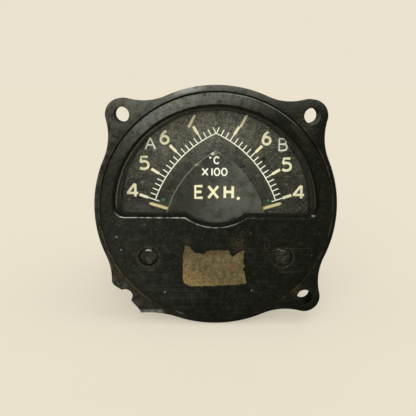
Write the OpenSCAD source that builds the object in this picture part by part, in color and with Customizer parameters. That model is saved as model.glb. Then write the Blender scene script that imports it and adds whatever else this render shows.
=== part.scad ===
// Twin-pointer exhaust gas temperature gauge for a three and one eighth inch panel hole.
// All sub-parts are drawn looking at the dial: x to the right, y up, z towards the reader,
// with z = 0 on the front face of the flange. The last step turns the dial to face -Y
// and puts the origin in the middle of the flange's seating face.

/* [Flange and fixing holes] */
// Diameter of the round part of the flange
flange_d = 82.55; // [81:0.05:84]
// Thickness of the flange
flange_t = 7.2; // [6.6:0.1:9]
// Distance between neighbouring fixing holes
hole_pitch = 62.865; // [62:0.005:64]
// Diameter of a fixing hole
hole_d = 5.2; // [3.5:0.1:6]
// Radius of an ear's end
ear_r = 5.4; // [5:0.1:7]
// Radius that blends an ear into the round flange
ear_fillet_r = 20; // [12:1:30]
// Radius of the round that the fuller fillet under the broken ear would run into
heel_r = 6.9; // [5:0.1:8]
// Radius of that fuller fillet
heel_fillet_r = 32; // [20:1:40]

/* [Case] */
// Outside diameter of the case behind the flange
body_d = 71.2; // [70.6:0.1:71.4]
// Wall of the case
body_wall = 2.6; // [2:0.1:2.8]
// Length of the case from the flange's front face to its rear face
case_depth = 69; // [66:1:90]
// Thickness of the case's rear wall
rear_wall = 3; // [2:0.5:4]
// Chamfer round the case's rear edge
rear_chamfer = 1.5; // [0.5:0.5:2.5]

/* [Front cover] */
// Diameter of the front cover where it stands in front of the flange
cover_d = 78.4; // [78:0.1:79]
// Height of the cover's face in front of the flange
cover_proud = 2.1; // [1.8:0.1:4]
// Thickness of the cover's face
cover_face_t = 3; // [2.8:0.1:3.6]
// Rounding of the cover's outer shoulder
shoulder_r = 1.6; // [0.5:0.1:1.7]
// Clearance between the cover and the case
cover_gap = 0.2; // [0.1:0.05:0.4]
// Width of the cover's rim
rim_w = 3.4; // [3.2:0.1:3.8]
// Diameter of a cover screw
cover_screw_d = 1.9; // [1.4:0.1:2]
// Number of cover screws
cover_screws_n = 4; // [3:1:8]

/* [Window] */
// Radius of the window
window_r = 34.2; // [32:0.1:34.4]
// Height of the window's straight lower edge
window_low_y = -2; // [-3:0.1:2]
// Radius of the window's two lower corners
window_corner_r = 3.4; // [1:0.2:6]
// Width of the lobe in the middle of the lower edge
lobe_w = 20.4; // [14:0.2:24]
// Drop of the lobe below the lower edge
lobe_drop = 3.4; // [2:0.2:3.8]
// Width of the bevel round the window
window_bevel = 1.2; // [0.4:0.1:1.4]

/* [Glass] */
// Thickness of the window glass
glass_t = 1.5; // [1:0.1:2]
// Thickness of the gasket in front of the glass
gasket_t = 0.3; // [0.2:0.05:0.5]
// Thickness of the frame that holds the glass
retainer_t = 0.5; // [0.4:0.1:0.8]
// Thickness of the seal behind the cover's rim
seal_t = 0.4; // [0.3:0.1:0.8]
// How far the glass reaches past the window
glass_lap = 1.3; // [1:0.1:1.4]

/* [Dial] */
// Distance of each pointer's pivot from the middle of the dial
pivot_x = 16.6; // [16.2:0.1:17.2]
// Height of the pivots above the middle of the dial
pivot_y = -11.2; // [-11.8:0.1:-10.8]
// Radius of the dial plate
dial_r = 32.6; // [31.5:0.1:32.7]
// Thickness of the dial plate
dial_t = 0.9; // [0.6:0.1:1.5]
// Length of the pillars behind the dial
dial_pillar_l = 3.7; // [3:0.1:6]
// Radius of the arch plate's two sides, each about the far pivot
arch_r = 34.8; // [30:0.1:35.5]
// Thickness of the arch plate
arch_t = 0.5; // [0.3:0.1:0.8]
// Diameter of the screws of the dial and the arch plate
dial_screw_d = 1.6; // [1:0.1:1.8]

/* [Pointers] */
// Length of a pointer from its pivot to its tip
pointer_len = 41.4; // [38:0.1:43]
// Width of a pointer
pointer_w = 1.25; // [0.8:0.05:1.6]
// Thickness of a pointer
pointer_t = 0.3; // [0.2:0.05:0.4]
// Angle of a resting pointer above the horizontal
rest_angle = 16.8; // [14:0.1:19]
// Angle from rest to the upper stop
sweep = 51; // [40:1:53]

/* [Movements] */
// Radius of the iron core in each coil
core_r = 6; // [5.5:0.1:6.2]
// Radius of the bore between the pole pieces
pole_bore_r = 8; // [7.8:0.1:8.2]
// Length of the pole pieces along the pivot
pole_l = 12; // [10:0.5:16]
// Half width of the pole pieces and the magnet
pole_half_w = 11; // [10.6:0.1:11.4]
// Height of the pole pieces' upper ends above the pivot
pole_top_y = 9.5; // [9:0.1:10]
// Height of their lower ends, below the pivot
pole_low_y = -8.6; // [-9:0.1:-8.4]
// Thickness of the chassis plate
chassis_t = 2; // [1.5:0.1:3]
// Thickness of a bridge that carries a jewel screw
bridge_t = 1; // [0.8:0.1:1.5]
// Distance of a bridge's pillars from the pivot
pillar_reach = 9.5; // [9.3:0.1:9.8]
// Radius of a staff
staff_r = 0.5; // [0.4:0.05:0.6]
// Clearance between a staff's pivot and its jewel
jewel_gap = 0.06; // [0.03:0.01:0.1]

/* [Zero setting] */
// Distance of each zero screw from the middle of the dial
zero_x = 22.95; // [22:0.05:23.6]
// Height of the zero screws above the middle of the dial
zero_y = -16.5; // [-17.5:0.1:-15.8]
// Diameter of a zero screw's head
zero_head_d = 5.9; // [5:0.1:6.4]
// Depth of the head's top below the cover's face
zero_sink = 1.2; // [0.8:0.1:1.4]
// Width of the slot in the head
zero_slot_w = 0.9; // [0.6:0.1:1.2]
// Offset of the pin that moves the zero arm
eccentric = 0.9; // [0.7:0.05:1]
// Diameter of that pin
zero_pin_d = 0.9; // [0.7:0.05:1]
// Clearance on each side of the pin in its fork
fork_gap = 0.2; // [0.15:0.05:0.25]
// Running clearance round the screw and the zero arm
turn_gap = 0.08; // [0.04:0.01:0.1]

/* [Terminals] */
// Diameter of a terminal stud
stud_d = 4; // [3:0.1:5]
// Distance between the studs from side to side
stud_pitch_x = 26; // [22:1:30]
// Distance between the studs from top to bottom
stud_pitch_y = 18; // [16:1:24]
// Length of a stud outside the case
stud_out = 12; // [11:0.5:18]
// Thickness of the board that carries the resistors
board_t = 1.6; // [1:0.1:2.4]

/* [Hidden] */
$fn = 64;
eps = 0.01;

// Radii that follow from the diameters above
flange_r = flange_d / 2;
cover_r = cover_d / 2;
body_r = body_d / 2;
bore_r = body_r - body_wall;
recess_r = cover_r + cover_gap;
case_spigot_r = bore_r + 1.4;
cement_t = 0.3;
hole_xy = hole_pitch / 2;
hole_r = hole_d / 2;
rim_in_r = cover_r - rim_w;
cover_screw_r = cover_screw_d / 2;
cover_screw_at = cover_r - rim_w / 2;
glass_r = window_r + glass_lap;
glass_low_y = window_low_y - lobe_drop - 1.9;
land_w = 1;

// Depths from the cover's face back to the rear wall, each one built on the last
z_face = cover_proud;
z_cover_back = z_face - cover_face_t;
z_gasket_back = z_cover_back - gasket_t;
z_glass_back = z_gasket_back - glass_t;
z_rim_back = z_glass_back - retainer_t;
z_ledge = z_rim_back - seal_t;
z_bridge = z_rim_back - 0.3;
z_bridge_back = z_bridge - bridge_t;
z_arch = z_bridge_back - 0.3;
z_arch_back = z_arch - arch_t;
z_pointer_a = z_arch_back - 0.45;
z_pointer_b = z_pointer_a - pointer_t - 0.5;
z_dial = z_pointer_b - pointer_t - 0.6;
z_dial_back = z_dial - dial_t;
z_chassis = z_dial_back - dial_pillar_l;
z_pole = z_chassis - chassis_t;
z_pole_back = z_pole - pole_l;
z_coil = z_chassis - 0.4;
z_coil_back = z_pole_back - 1.6;
z_rear_bridge = z_coil_back - 2.4;
z_rear_bridge_back = z_rear_bridge - bridge_t - 0.2;
z_rear_in = rear_wall - case_depth;
z_rear = -case_depth;

// Zero arm: it turns on the front jewel screw, in front of the bridge
z_arm = z_bridge + 1.3;
arm_t = 0.6;
arm_boss_r = 1.5;
arm_half_w = 0.9;
fork_wall = 0.7;
fork_lip = 0.5;
tail_half_w = 0.6;
tail_eye_r = 0.8;
zero_reach = norm([zero_x - pivot_x, zero_y - pivot_y]);
zero_dir = atan2(zero_y - pivot_y, zero_x - pivot_x);
pin_r = zero_pin_d / 2;
z_pin_end = z_arm - arm_t - 0.3;
tail_turn = -70;

// Hairsprings: flat spirals of thin strip
spring_t = 0.18;
spring_w = 0.4;
spring_in_r = 1.5;
spring_turns = 3;
spring_post_at = 4.7;
spring_post_r = 0.5;
spring_out_r = spring_post_at - spring_post_r - spring_t / 2 - 0.02;
z_front_spring = z_bridge_back - 0.3;
z_rear_spring = z_rear_bridge + 1.5;
collet_r = 1.1;

// Bridges and pillars
bridge_dir = 20;
bridge_half_w = 2.2;
bridge_waist = 1.8;
pillar_r = 1.2;
spigot_r = 0.8;
jewel_shank_r = 1.1;
jewel_fit = 0.05;

// Coil
coil_half_w = pole_bore_r - 0.5;
coil_wall = coil_half_w - core_r - 0.6;
coil_y = 2.2;
coil_end = 1;
coil_rest = sweep / 2;

// Dial, arch plate and their supports
arch_low_y = pivot_y - 1.6;
hub_clear_r = 8.2;
arch_pillar_x = 4.5;
arch_pillar_y = pivot_y + 0.3;
arch_pillar_r = 1.2;
dial_screw_r = dial_screw_d / 2;
dial_pillar_r = 1.8;
DIAL_PILLARS = [[24, 17], [-24, 17], [26.5, -14.5], [-26.5, -14.5]];
DIAL_SCREWS = [[26.5, -14.5], [-26.5, -14.5]];
stop_r = 0.5;
stop_reach = 7;
stop_gap = 0.12;
hub_r = 1.7;
tail_reach = 5.2;
weight_r = 1;

// Small slotted screws
small_head_r = 1.4;
small_head_t = 0.6;
dial_thread_l = 2.2;
arch_thread_l = 1.3;
pole_screw_x = 7.5;
pole_screw_y = 7.2;
pole_thread_l = 4;
lug_head_r = 2.1;
lug_head_t = 1.3;
lug_thread_l = 6;

// Chassis and its lugs in the case
lug_at = 30.2 / 33 * bore_r;
lug_r = 3.2;
lug_l = 20;
LUG_ANGLES = [90, 235, 305];
lug_screw_r = 1.2;

// Terminals
stud_r = stud_d / 2;
bush_r = stud_r + 1.4;
stud_tip_r = stud_r - 0.3;
stud_shank_out = 0.6;
wire_grip = 1.2;
bush_flange_t = 1.5;
nut_af = stud_d * 1.75;
nut_t = stud_d * 0.8;
board_gap = 4.4;
z_board_back = z_rear_in + board_gap;
z_board = z_board_back + board_t;
bobbin_r = 5.5;
bobbin_l = 13;
bobbin_y = bobbin_r + 4;
wire_r = 0.5;

// Corner points of the broken ear's edge, read along the break
BREAK = [[-35.7, -26.3], [-34.8, -27.5], [-32.4, -29.1], [-hole_xy, -hole_xy],
    [-29.3, -33], [-28.2, -34.1], [-27.1, -35.5], [-25.9, -37.4]];

// Corner points of the torn paper label on the cover's face
LABEL = [[-11.1, -16], [-10.4, -12.2], [-8.8, -12.7], [-7.1, -14.8], [-4, -15.3], [-3.1, -14.3],
    [0.2, -13.9], [3.6, -14.1], [4.2, -13.4], [5.1, -15.6], [5.8, -16.3], [8.3, -14.3],
    [9.7, -13.7], [9.5, -18.8], [10, -19.4], [9.2, -21], [9.9, -21.5], [10.7, -25.4],
    [10.1, -25.9], [-0.4, -26.6], [-8.6, -26.8], [-10.6, -25.5], [-11.1, -24.6]];
label_t = 0.15;

// Turns the dial to face -Y, with the flange's seating face at Y = 0
module stand() {
    rotate([90, 0, 0])
        translate([0, 0, flange_t])
            children();
}

// Copies the children at the right pivot, for movement A
module at_pivot() {
    translate([pivot_x, pivot_y, 0])
        children();
}

// Movement B is the mirror image of movement A
module flip() {
    mirror([1, 0, 0])
        children();
}

module up_from(z, h) {
    translate([0, 0, z])
        linear_extrude(h)
            children();
}

// A round rod between two depths
module rod(r, front, back) {
    translate([0, 0, back])
        cylinder(r = r, h = front - back);
}

function hole_reach() = hole_xy * sqrt(2);

// Centre of a fillet that touches the flange's circle and a circle about an ear's hole
function fillet_centre(round_r, fillet_r) =
    let (d1 = flange_r + fillet_r, d2 = round_r + fillet_r,
        x = (hole_reach() * hole_reach() + d1 * d1 - d2 * d2) / (2 * hole_reach()))
    [x, sqrt(d1 * d1 - x * x)];

// One ear: its round end, and the two fillets that run into the flange. The fillet on the
// far side can be given its own round and radius
module ear_outline(angle, far_round_r = ear_r, far_fillet_r = ear_fillet_r) {
    near = fillet_centre(ear_r, ear_fillet_r);
    far = fillet_centre(far_round_r, far_fillet_r);
    rotate(angle) {
        translate([hole_reach(), 0])
            circle(r = ear_r);
        difference() {
            polygon([[0, 0], far, [hole_reach(), 0], [near[0], -near[1]]]);
            translate(far)
                circle(r = far_fillet_r, $fn = 128);
            translate([near[0], -near[1]])
                circle(r = ear_fillet_r, $fn = 128);
        }
    }
}

// The fourth ear has broken off through its hole
module broken_away() {
    far = 60;
    first = BREAK[0];
    last = BREAK[len(BREAK) - 1];
    polygon(concat([[-far, first[1]]], BREAK, [[last[0], -far], [-far, -far]]));
}

module flange_outline() {
    difference() {
        union() {
            circle(r = flange_r, $fn = 180);
            for (a = [45, 135, 315])
                ear_outline(a);
            ear_outline(225, heel_r, heel_fillet_r);
        }
        broken_away();
        for (x = [-1, 1], y = [-1, 1])
            translate([x * hole_xy, y * hole_xy])
                circle(r = hole_r);
    }
}

module at_cover_screws() {
    for (i = [0 : cover_screws_n - 1])
        rotate(45 + i * 360 / cover_screws_n)
            translate([cover_screw_at, 0, 0])
                children();
}

module at_studs() {
    for (x = [-1, 1], y = [-1, 1])
        translate([x * stud_pitch_x / 2, y * stud_pitch_y / 2, 0])
            children();
}

module case() {
    color("#232420")
        difference() {
            union() {
                rod(case_spigot_r, z_ledge, -flange_t - eps);
                rod(body_r, -flange_t, z_rear + rear_chamfer);
                translate([0, 0, z_rear])
                    cylinder(r1 = body_r - rear_chamfer, r2 = body_r, h = rear_chamfer);
            }
            difference() {
                rod(bore_r, eps, z_rear_in);
                for (a = LUG_ANGLES)
                    rotate(a)
                        translate([lug_at, 0, 0])
                            rod(lug_r, z_pole, z_pole - lug_l);
            }
            for (a = LUG_ANGLES)
                rotate(a)
                    translate([lug_at, 0, 0])
                        rod(lug_screw_r + 0.05, z_pole + eps, z_pole - lug_thread_l - 1);
            at_studs()
                rod(bush_r, z_rear_in + eps, z_rear - eps);
        }
}

// Eared ring in front of the panel. The case's spigot is cemented into its bore, and a
// shallow step behind leaves room for the cement
module flange() {
    color("#232420")
        difference() {
            union() {
                up_from(-flange_t, flange_t)
                    flange_outline();
                rod(recess_r, 0, -flange_t);
            }
            rod(recess_r, eps, z_ledge);
            rod(case_spigot_r, eps, -flange_t - eps);
            rod(body_r + 2 * cement_t, cement_t - flange_t, -flange_t - eps);
            at_cover_screws() {
                rod(cover_screw_r + 0.1, z_ledge + eps, -flange_t - eps);
                rod(cover_screw_r + 0.85, cover_head_z(), -flange_t - eps);
            }
        }
}

function cover_head_z() = -flange_t + 1.6;

// Half-moon window: a circle cut off straight, with round corners and a lobe
module window_outline(grow = 0, low = window_low_y) {
    r = window_r + grow;
    y0 = low - grow;
    rc = window_corner_r + grow;
    cx = sqrt(pow(r - rc, 2) - pow(y0 + rc, 2));
    lobe_half = lobe_w / 2;
    lobe_r = (lobe_half * lobe_half + lobe_drop * lobe_drop) / (2 * lobe_drop);
    lobe_cy = low - lobe_drop + lobe_r;
    difference() {
        intersection() {
            circle(r = r, $fn = 180);
            translate([-r, y0])
                square([2 * r, 2 * r]);
        }
        for (s = [-1, 1])
            difference() {
                polygon([[s * cx, y0 - eps], [s * cx, y0 + rc],
                    [s * cx * 1.3, (y0 + rc) * 1.3], [s * (r + 1), y0 - eps]]);
                translate([s * cx, y0 + rc])
                    circle(r = rc);
            }
    }
    intersection() {
        translate([0, lobe_cy])
            circle(r = lobe_r + grow, $fn = 128);
        translate([-lobe_half - grow, low - lobe_drop - grow - 1])
            square([lobe_w + 2 * grow, lobe_drop + 2 * grow + 2]);
    }
}

// Half-moon outline of the glass and what holds it
module glass_outline(shrink = 0) {
    r = glass_r - shrink;
    intersection() {
        circle(r = r, $fn = 180);
        translate([-r, glass_low_y + shrink])
            square([2 * r, 2 * r]);
    }
}

// The cover's solid of revolution, before the window and the screws are cut
module cover_blank() {
    rotate_extrude($fn = 180) {
        translate([0, z_cover_back])
            square([cover_r - shoulder_r, cover_face_t]);
        translate([0, z_cover_back])
            square([cover_r, cover_face_t - shoulder_r]);
        translate([cover_r - shoulder_r, z_face - shoulder_r])
            circle(r = shoulder_r);
        translate([rim_in_r, z_rim_back])
            square([rim_w - 0.3, z_cover_back - z_rim_back]);
    }
}

// The land behind the window that the gasket and the glass sit in
module glass_surround() {
    up_from(z_rim_back, z_cover_back - z_rim_back)
        difference() {
            intersection() {
                circle(r = rim_in_r + eps);
                translate([-cover_r, glass_low_y - land_w])
                    square([cover_d, cover_d]);
            }
            glass_outline(-0.1);
        }
}

module window_cut() {
    up_from(z_cover_back - eps, cover_face_t + 2 * eps)
        window_outline();
    // a bevel of small steps round the whole window
    steps = 3;
    for (i = [1 : steps])
        up_from(z_face - window_bevel * i / steps, window_bevel)
            window_outline(window_bevel * (1 - (i - 0.5) / steps));
}

module at_zero() {
    translate([zero_x, zero_y, 0])
        children();
}

// Cover holes for one zero screw: head recess, neck and a soft rim
module zero_holes() {
    head_r = zero_head_d / 2 + turn_gap;
    rod(head_r, z_face + eps, zero_web());
    rod(zero_neck_r() + turn_gap, z_face, z_cover_back - eps);
    translate([0, 0, z_face - 0.6])
        cylinder(r1 = head_r, r2 = head_r + 0.75, h = 0.6 + eps);
}

function zero_neck_r() = zero_head_d / 2 - 1.1;
function zero_web() = z_cover_back + 0.7;

module front_cover() {
    color("#262723")
        difference() {
            union() {
                cover_blank();
                glass_surround();
            }
            window_cut();
            at_cover_screws()
                rod(cover_screw_r, z_cover_back + 0.5, z_rim_back - eps);
            at_zero()
                zero_holes();
            flip()
                at_zero()
                    zero_holes();
        }
}

module window_glass() {
    color("#dfe6e2", 0.3)
        up_from(z_glass_back, glass_t)
            glass_outline();
}

module glass_gasket() {
    color("#111111")
        up_from(z_gasket_back, gasket_t)
            difference() {
                glass_outline();
                window_outline(0.05);
            }
}

module glass_retainer() {
    color("#34352f")
        up_from(z_rim_back, retainer_t)
            difference() {
                glass_outline();
                glass_outline(1.4);
            }
}

module cover_seal() {
    color("#1a1a1a")
        up_from(z_ledge, seal_t)
            difference() {
                circle(r = cover_r - 0.3);
                circle(r = rim_in_r);
                for (i = [0 : cover_screws_n - 1])
                    rotate(45 + i * 360 / cover_screws_n)
                        translate([cover_screw_at, 0])
                            circle(r = cover_screw_r + 0.1);
            }
}

// Cheese-head screws that hold the cover from behind the flange
module cover_screws() {
    head_t = 1.3;
    color("#77705f")
        at_cover_screws()
            difference() {
                union() {
                    rod(cover_screw_r, z_cover_back, cover_head_z());
                    rod(cover_screw_r + 0.75, cover_head_z(), cover_head_z() - head_t);
                }
                translate([-5, -0.2, cover_head_z() - head_t - eps])
                    cube([10, 0.4, 0.6]);
            }
}

module paper_label() {
    color("#8a7a50")
        up_from(z_face, label_t)
            polygon(LABEL);
}

module dial_plate() {
    color("#33342f")
        up_from(z_dial_back, dial_t)
            difference() {
                circle(r = dial_r, $fn = 180);
                for (s = [-1, 1]) {
                    translate([s * pivot_x, pivot_y])
                        circle(r = collet_r + 1.2);
                    for (e = [-1, 1])
                        translate([s * (pivot_x + e * pillar_dx()), pivot_y + e * pillar_dy()])
                            circle(r = pillar_r + 0.3);
                    translate([s * arch_pillar_x, arch_pillar_y])
                        circle(r = spigot_r);
                }
                for (p = DIAL_SCREWS)
                    translate(p)
                        circle(r = dial_screw_r);
            }
}

function pillar_dx() = pillar_reach * cos(bridge_dir);
function pillar_dy() = pillar_reach * sin(bridge_dir);

// Spacers between the chassis plate and the dial
module dial_pillars() {
    color("#b59a5c")
        for (p = DIAL_PILLARS)
            translate(p)
                difference() {
                    union() {
                        rod(dial_pillar_r, z_dial_back, z_chassis);
                        rod(spigot_r, z_chassis + eps, z_pole);
                    }
                    rod(dial_screw_r, z_dial_back + eps, z_dial_back - 2.4);
                }
}

module slotted_screw(r, head_r, head_t, front, length) {
    difference() {
        union() {
            rod(r, front, front - length);
            rod(head_r, front + head_t, front);
        }
        translate([-head_r - 1, -0.2, front + head_t / 2])
            cube([2 * head_r + 2, 0.4, head_t]);
    }
}

module dial_screws() {
    color("#8d8a80")
        for (p = DIAL_SCREWS)
            translate(p)
                slotted_screw(dial_screw_r, small_head_r, small_head_t, z_dial, dial_t + dial_thread_l);
}

// Gothic arch between two arcs, each struck from the far pivot
module arch_plate() {
    color("#3a3b35")
        up_from(z_arch_back, arch_t)
            difference() {
                intersection() {
                    translate([pivot_x, pivot_y])
                        circle(r = arch_r, $fn = 180);
                    translate([-pivot_x, pivot_y])
                        circle(r = arch_r, $fn = 180);
                    translate([-arch_r, arch_low_y])
                        square([2 * arch_r, 2 * arch_r]);
                }
                for (s = [-1, 1]) {
                    translate([s * pivot_x, pivot_y])
                        circle(r = hub_clear_r);
                    translate([s * arch_pillar_x, arch_pillar_y])
                        circle(r = dial_screw_r);
                }
            }
}

module arch_pillars() {
    color("#b59a5c")
        for (s = [-1, 1])
            translate([s * arch_pillar_x, arch_pillar_y])
                difference() {
                    union() {
                        rod(arch_pillar_r, z_arch_back, z_dial);
                        rod(spigot_r, z_dial + eps, z_dial_back);
                    }
                    rod(dial_screw_r, z_arch_back + eps, z_arch_back - 1.5);
                }
}

module arch_screws() {
    color("#8d8a80")
        for (s = [-1, 1])
            translate([s * arch_pillar_x, arch_pillar_y])
                slotted_screw(dial_screw_r, small_head_r, small_head_t, z_arch, arch_t + arch_thread_l);
}

// One post beside movement A's pointer; turn is the pointer's angle past rest
module stop_post(turn, side) {
    lead = asin((pointer_w / 2 + 0.25 + stop_r + stop_gap) / stop_reach);
    dir = 180 - rest_angle - turn - side * lead;
    at_pivot()
        rotate(dir)
            translate([stop_reach, 0, 0])
                rod(stop_r, z_arch_back - 0.3, z_dial);
}

module pointer_stops() {
    color("#c0a469") {
        stop_post(0, -1);
        stop_post(sweep, 1);
        flip() {
            stop_post(0, -1);
            stop_post(sweep, 1);
        }
    }
}

module chassis_plate() {
    color("#a9aaa4")
        up_from(z_pole, chassis_t)
            difference() {
                circle(r = bore_r - 0.4);
                for (s = [-1, 1])
                    translate([s * pivot_x, pivot_y]) {
                        circle(r = pole_bore_r);
                        for (e = [-1, 1]) {
                            translate([s * e * pillar_dx(), e * pillar_dy()])
                                circle(r = spigot_r);
                            translate([e * pole_screw_x, pole_screw_y])
                                circle(r = dial_screw_r);
                        }
                    }
                for (p = DIAL_PILLARS)
                    translate(p)
                        circle(r = spigot_r);
                for (a = LUG_ANGLES)
                    rotate(a)
                        translate([lug_at, 0])
                            circle(r = lug_screw_r + 0.1);
                translate([0, 20])
                    circle(r = 5);
            }
}

module chassis_screws() {
    color("#8d8a80")
        for (a = LUG_ANGLES)
            rotate(a)
                translate([lug_at, 0, 0])
                    slotted_screw(lug_screw_r, lug_head_r, lug_head_t, z_chassis, chassis_t + lug_thread_l);
}

// Screws that hold both pairs of pole pieces under the chassis plate
module pole_screws() {
    color("#8d8a80")
        for (s = [-1, 1], e = [-1, 1])
            translate([s * pivot_x + e * pole_screw_x, pivot_y + pole_screw_y, 0])
                slotted_screw(dial_screw_r, small_head_r, small_head_t, z_chassis,
                    chassis_t + pole_thread_l);
}

// Two iron shoes with a round bore between them
module pole_pieces_a() {
    slot_half = 3;
    color("#5c5d5a")
        at_pivot()
            difference() {
                up_from(z_pole_back, pole_l)
                    difference() {
                        union() {
                            translate([-pole_half_w, 0])
                                square([2 * pole_half_w, pole_top_y]);
                            intersection() {
                                translate([-pole_half_w, pole_low_y])
                                    square([2 * pole_half_w, -pole_low_y + 1]);
                                circle(r = pole_half_w + 0.6);
                            }
                        }
                        circle(r = pole_bore_r);
                        translate([-slot_half, pole_low_y - 1])
                            square([2 * slot_half, pole_top_y - pole_low_y + 2]);
                    }
                for (e = [-1, 1]) {
                    translate([e * pillar_dx(), e * pillar_dy(), 0])
                        rod(spigot_r, z_pole + eps, z_pole - 3.2);
                    translate([e * pole_screw_x, pole_screw_y, 0])
                        rod(dial_screw_r, z_pole + eps, z_pole - 4.4);
                }
            }
}

module pole_pieces_b() {
    flip()
        pole_pieces_a();
}

// Horseshoe magnet standing on the two pole pieces
module magnet_a() {
    leg = 7;
    arch_cy = 17;
    color("#6d3f38")
        at_pivot()
            up_from(z_pole_back + 1, pole_l - 2)
                difference() {
                    union() {
                        translate([-pole_half_w, pole_top_y])
                            square([2 * pole_half_w, arch_cy - pole_top_y]);
                        translate([0, arch_cy])
                            circle(r = pole_half_w);
                    }
                    translate([0, arch_cy])
                        circle(r = pole_half_w - leg);
                    translate([leg - pole_half_w, pole_top_y - 3])
                        square([2 * (pole_half_w - leg), arch_cy - pole_top_y + 3]);
                    translate([-pole_half_w - 1, pole_top_y - 20])
                        square([2 * pole_half_w + 2, 20]);
                }
}

module magnet_b() {
    flip()
        magnet_a();
}

module core_a() {
    color("#777873")
        at_pivot()
            rod(core_r, z_pole - 0.2, z_pole_back + 0.2);
}

module core_b() {
    flip()
        core_a();
}

// Brass bar across the lower gap that carries the core
module core_bracket_a() {
    bracket_l = 4;
    bar_half_w = 5;
    bar_t = 1.2;
    stem_half_w = 2.2;
    color("#b59a5c")
        at_pivot()
            up_from(z_pole_back + (pole_l - bracket_l) / 2, bracket_l)
                difference() {
                    union() {
                        translate([-bar_half_w, pole_low_y - bar_t])
                            square([2 * bar_half_w, bar_t]);
                        translate([-stem_half_w, pole_low_y - eps])
                            square([2 * stem_half_w, -pole_low_y - core_r / 2]);
                    }
                    circle(r = core_r);
                }
}

module core_bracket_b() {
    flip()
        core_bracket_a();
}

// Bar with round ends on two pillars, bored for a jewel screw
module bridge_bar(t) {
    linear_extrude(t)
        difference() {
            union() {
                rotate(bridge_dir)
                    translate([-pillar_reach, -bridge_waist])
                        square([2 * pillar_reach, 2 * bridge_waist]);
                circle(r = bridge_half_w);
                for (e = [-1, 1])
                    translate([e * pillar_dx(), e * pillar_dy()])
                        circle(r = bridge_half_w);
            }
            circle(r = jewel_shank_r + jewel_fit);
        }
}

module front_bridge_a() {
    color("#a9aaa4")
        at_pivot()
            difference() {
                translate([0, 0, z_bridge_back])
                    bridge_bar(bridge_t);
                for (e = [-1, 1])
                    translate([e * pillar_dx(), e * pillar_dy(), 0])
                        rod(spigot_r, z_bridge + eps, z_bridge_back - eps);
            }
}

module front_bridge_b() {
    flip()
        front_bridge_a();
}

module pillar_pair() {
    at_pivot()
        for (e = [-1, 1])
            translate([e * pillar_dx(), e * pillar_dy(), 0]) {
                rod(spigot_r, z_bridge, z_bridge_back - eps);
                rod(pillar_r, z_bridge_back, z_chassis);
                rod(spigot_r, z_chassis + eps, z_pole - 3);
            }
}

// The four pillars of both front bridges
module bridge_pillars() {
    color("#b59a5c") {
        pillar_pair();
        flip()
            pillar_pair();
    }
}

// Screw with a jewelled cup; its boss in front carries the zero arm
module front_jewel_a() {
    color("#c0a469")
        at_pivot()
            difference() {
                union() {
                    rod(arm_boss_r, z_arm + 0.3, z_arm - arm_t - 0.1 - eps);
                    rod(arm_boss_r + 0.6, z_arm - arm_t - 0.1, z_bridge);
                    rod(jewel_shank_r, z_bridge + eps, z_bridge_back - 0.2);
                }
                rod(jewel_hole_r(), z_bridge_back + 0.5, z_bridge_back - 1);
                translate([-3, -0.2, z_arm])
                    cube([6, 0.4, 1]);
            }
}

function jewel_hole_r() = staff_r / 2 + jewel_gap;

module front_jewel_b() {
    flip()
        front_jewel_a();
}

// Rear bridge: a bar on two feet, with an arm for the hairspring's outer end
module rear_bridge_a() {
    arm_dir = bridge_dir + 90;
    color("#a9aaa4")
        at_pivot() {
            difference() {
                translate([0, 0, z_rear_bridge_back])
                    union() {
                        bridge_bar(z_rear_bridge - z_rear_bridge_back);
                        linear_extrude(z_rear_bridge - z_rear_bridge_back)
                            rotate(arm_dir)
                                translate([2, -0.8])
                                    square([spring_post_at - 1.2, 1.6]);
                    }
                rod(jewel_shank_r + jewel_fit, z_rear_bridge + 1, z_rear_bridge_back - 1);
            }
            for (e = [-1, 1])
                translate([e * pillar_dx(), e * pillar_dy(), 0])
                    rod(pillar_r, z_pole_back, z_rear_bridge - eps);
            rotate(arm_dir)
                translate([spring_post_at, 0, 0])
                    rod(spring_post_r, z_rear_spring, z_rear_bridge - eps);
        }
}

module rear_bridge_b() {
    flip()
        rear_bridge_a();
}

module rear_jewel_a() {
    color("#c0a469")
        at_pivot()
            difference() {
                union() {
                    rod(jewel_shank_r, z_rear_bridge + 0.3, z_rear_bridge_back);
                    rod(1.7, z_rear_bridge_back, z_rear_bridge_back - 1.2);
                }
                rod(jewel_hole_r(), z_rear_bridge + 1, z_rear_bridge - 0.6);
                translate([-3, -0.2, z_rear_bridge_back - 2])
                    cube([6, 0.4, 1.3]);
            }
}

module rear_jewel_b() {
    flip()
        rear_jewel_a();
}

// Flat spiral strip whose outer end lies at angle 0
module hairspring() {
    n = 24 * spring_turns;
    rise = (spring_out_r - spring_in_r) / n;
    inner = [for (i = [0 : n])
        let (r = spring_in_r + rise * i - spring_t / 2, a = (i - n) * 15)
        [r * cos(a), r * sin(a)]];
    outer = [for (i = [n : -1 : 0])
        let (r = spring_in_r + rise * i + spring_t / 2, a = (i - n) * 15)
        [r * cos(a), r * sin(a)]];
    linear_extrude(spring_w)
        polygon(concat(inner, outer));
}

module rear_hairspring_a() {
    color("#c08a5a")
        at_pivot()
            translate([0, 0, z_rear_spring - spring_w])
                rotate(bridge_dir + 90)
                    hairspring();
}

module rear_hairspring_b() {
    flip()
        rear_hairspring_a();
}

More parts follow.
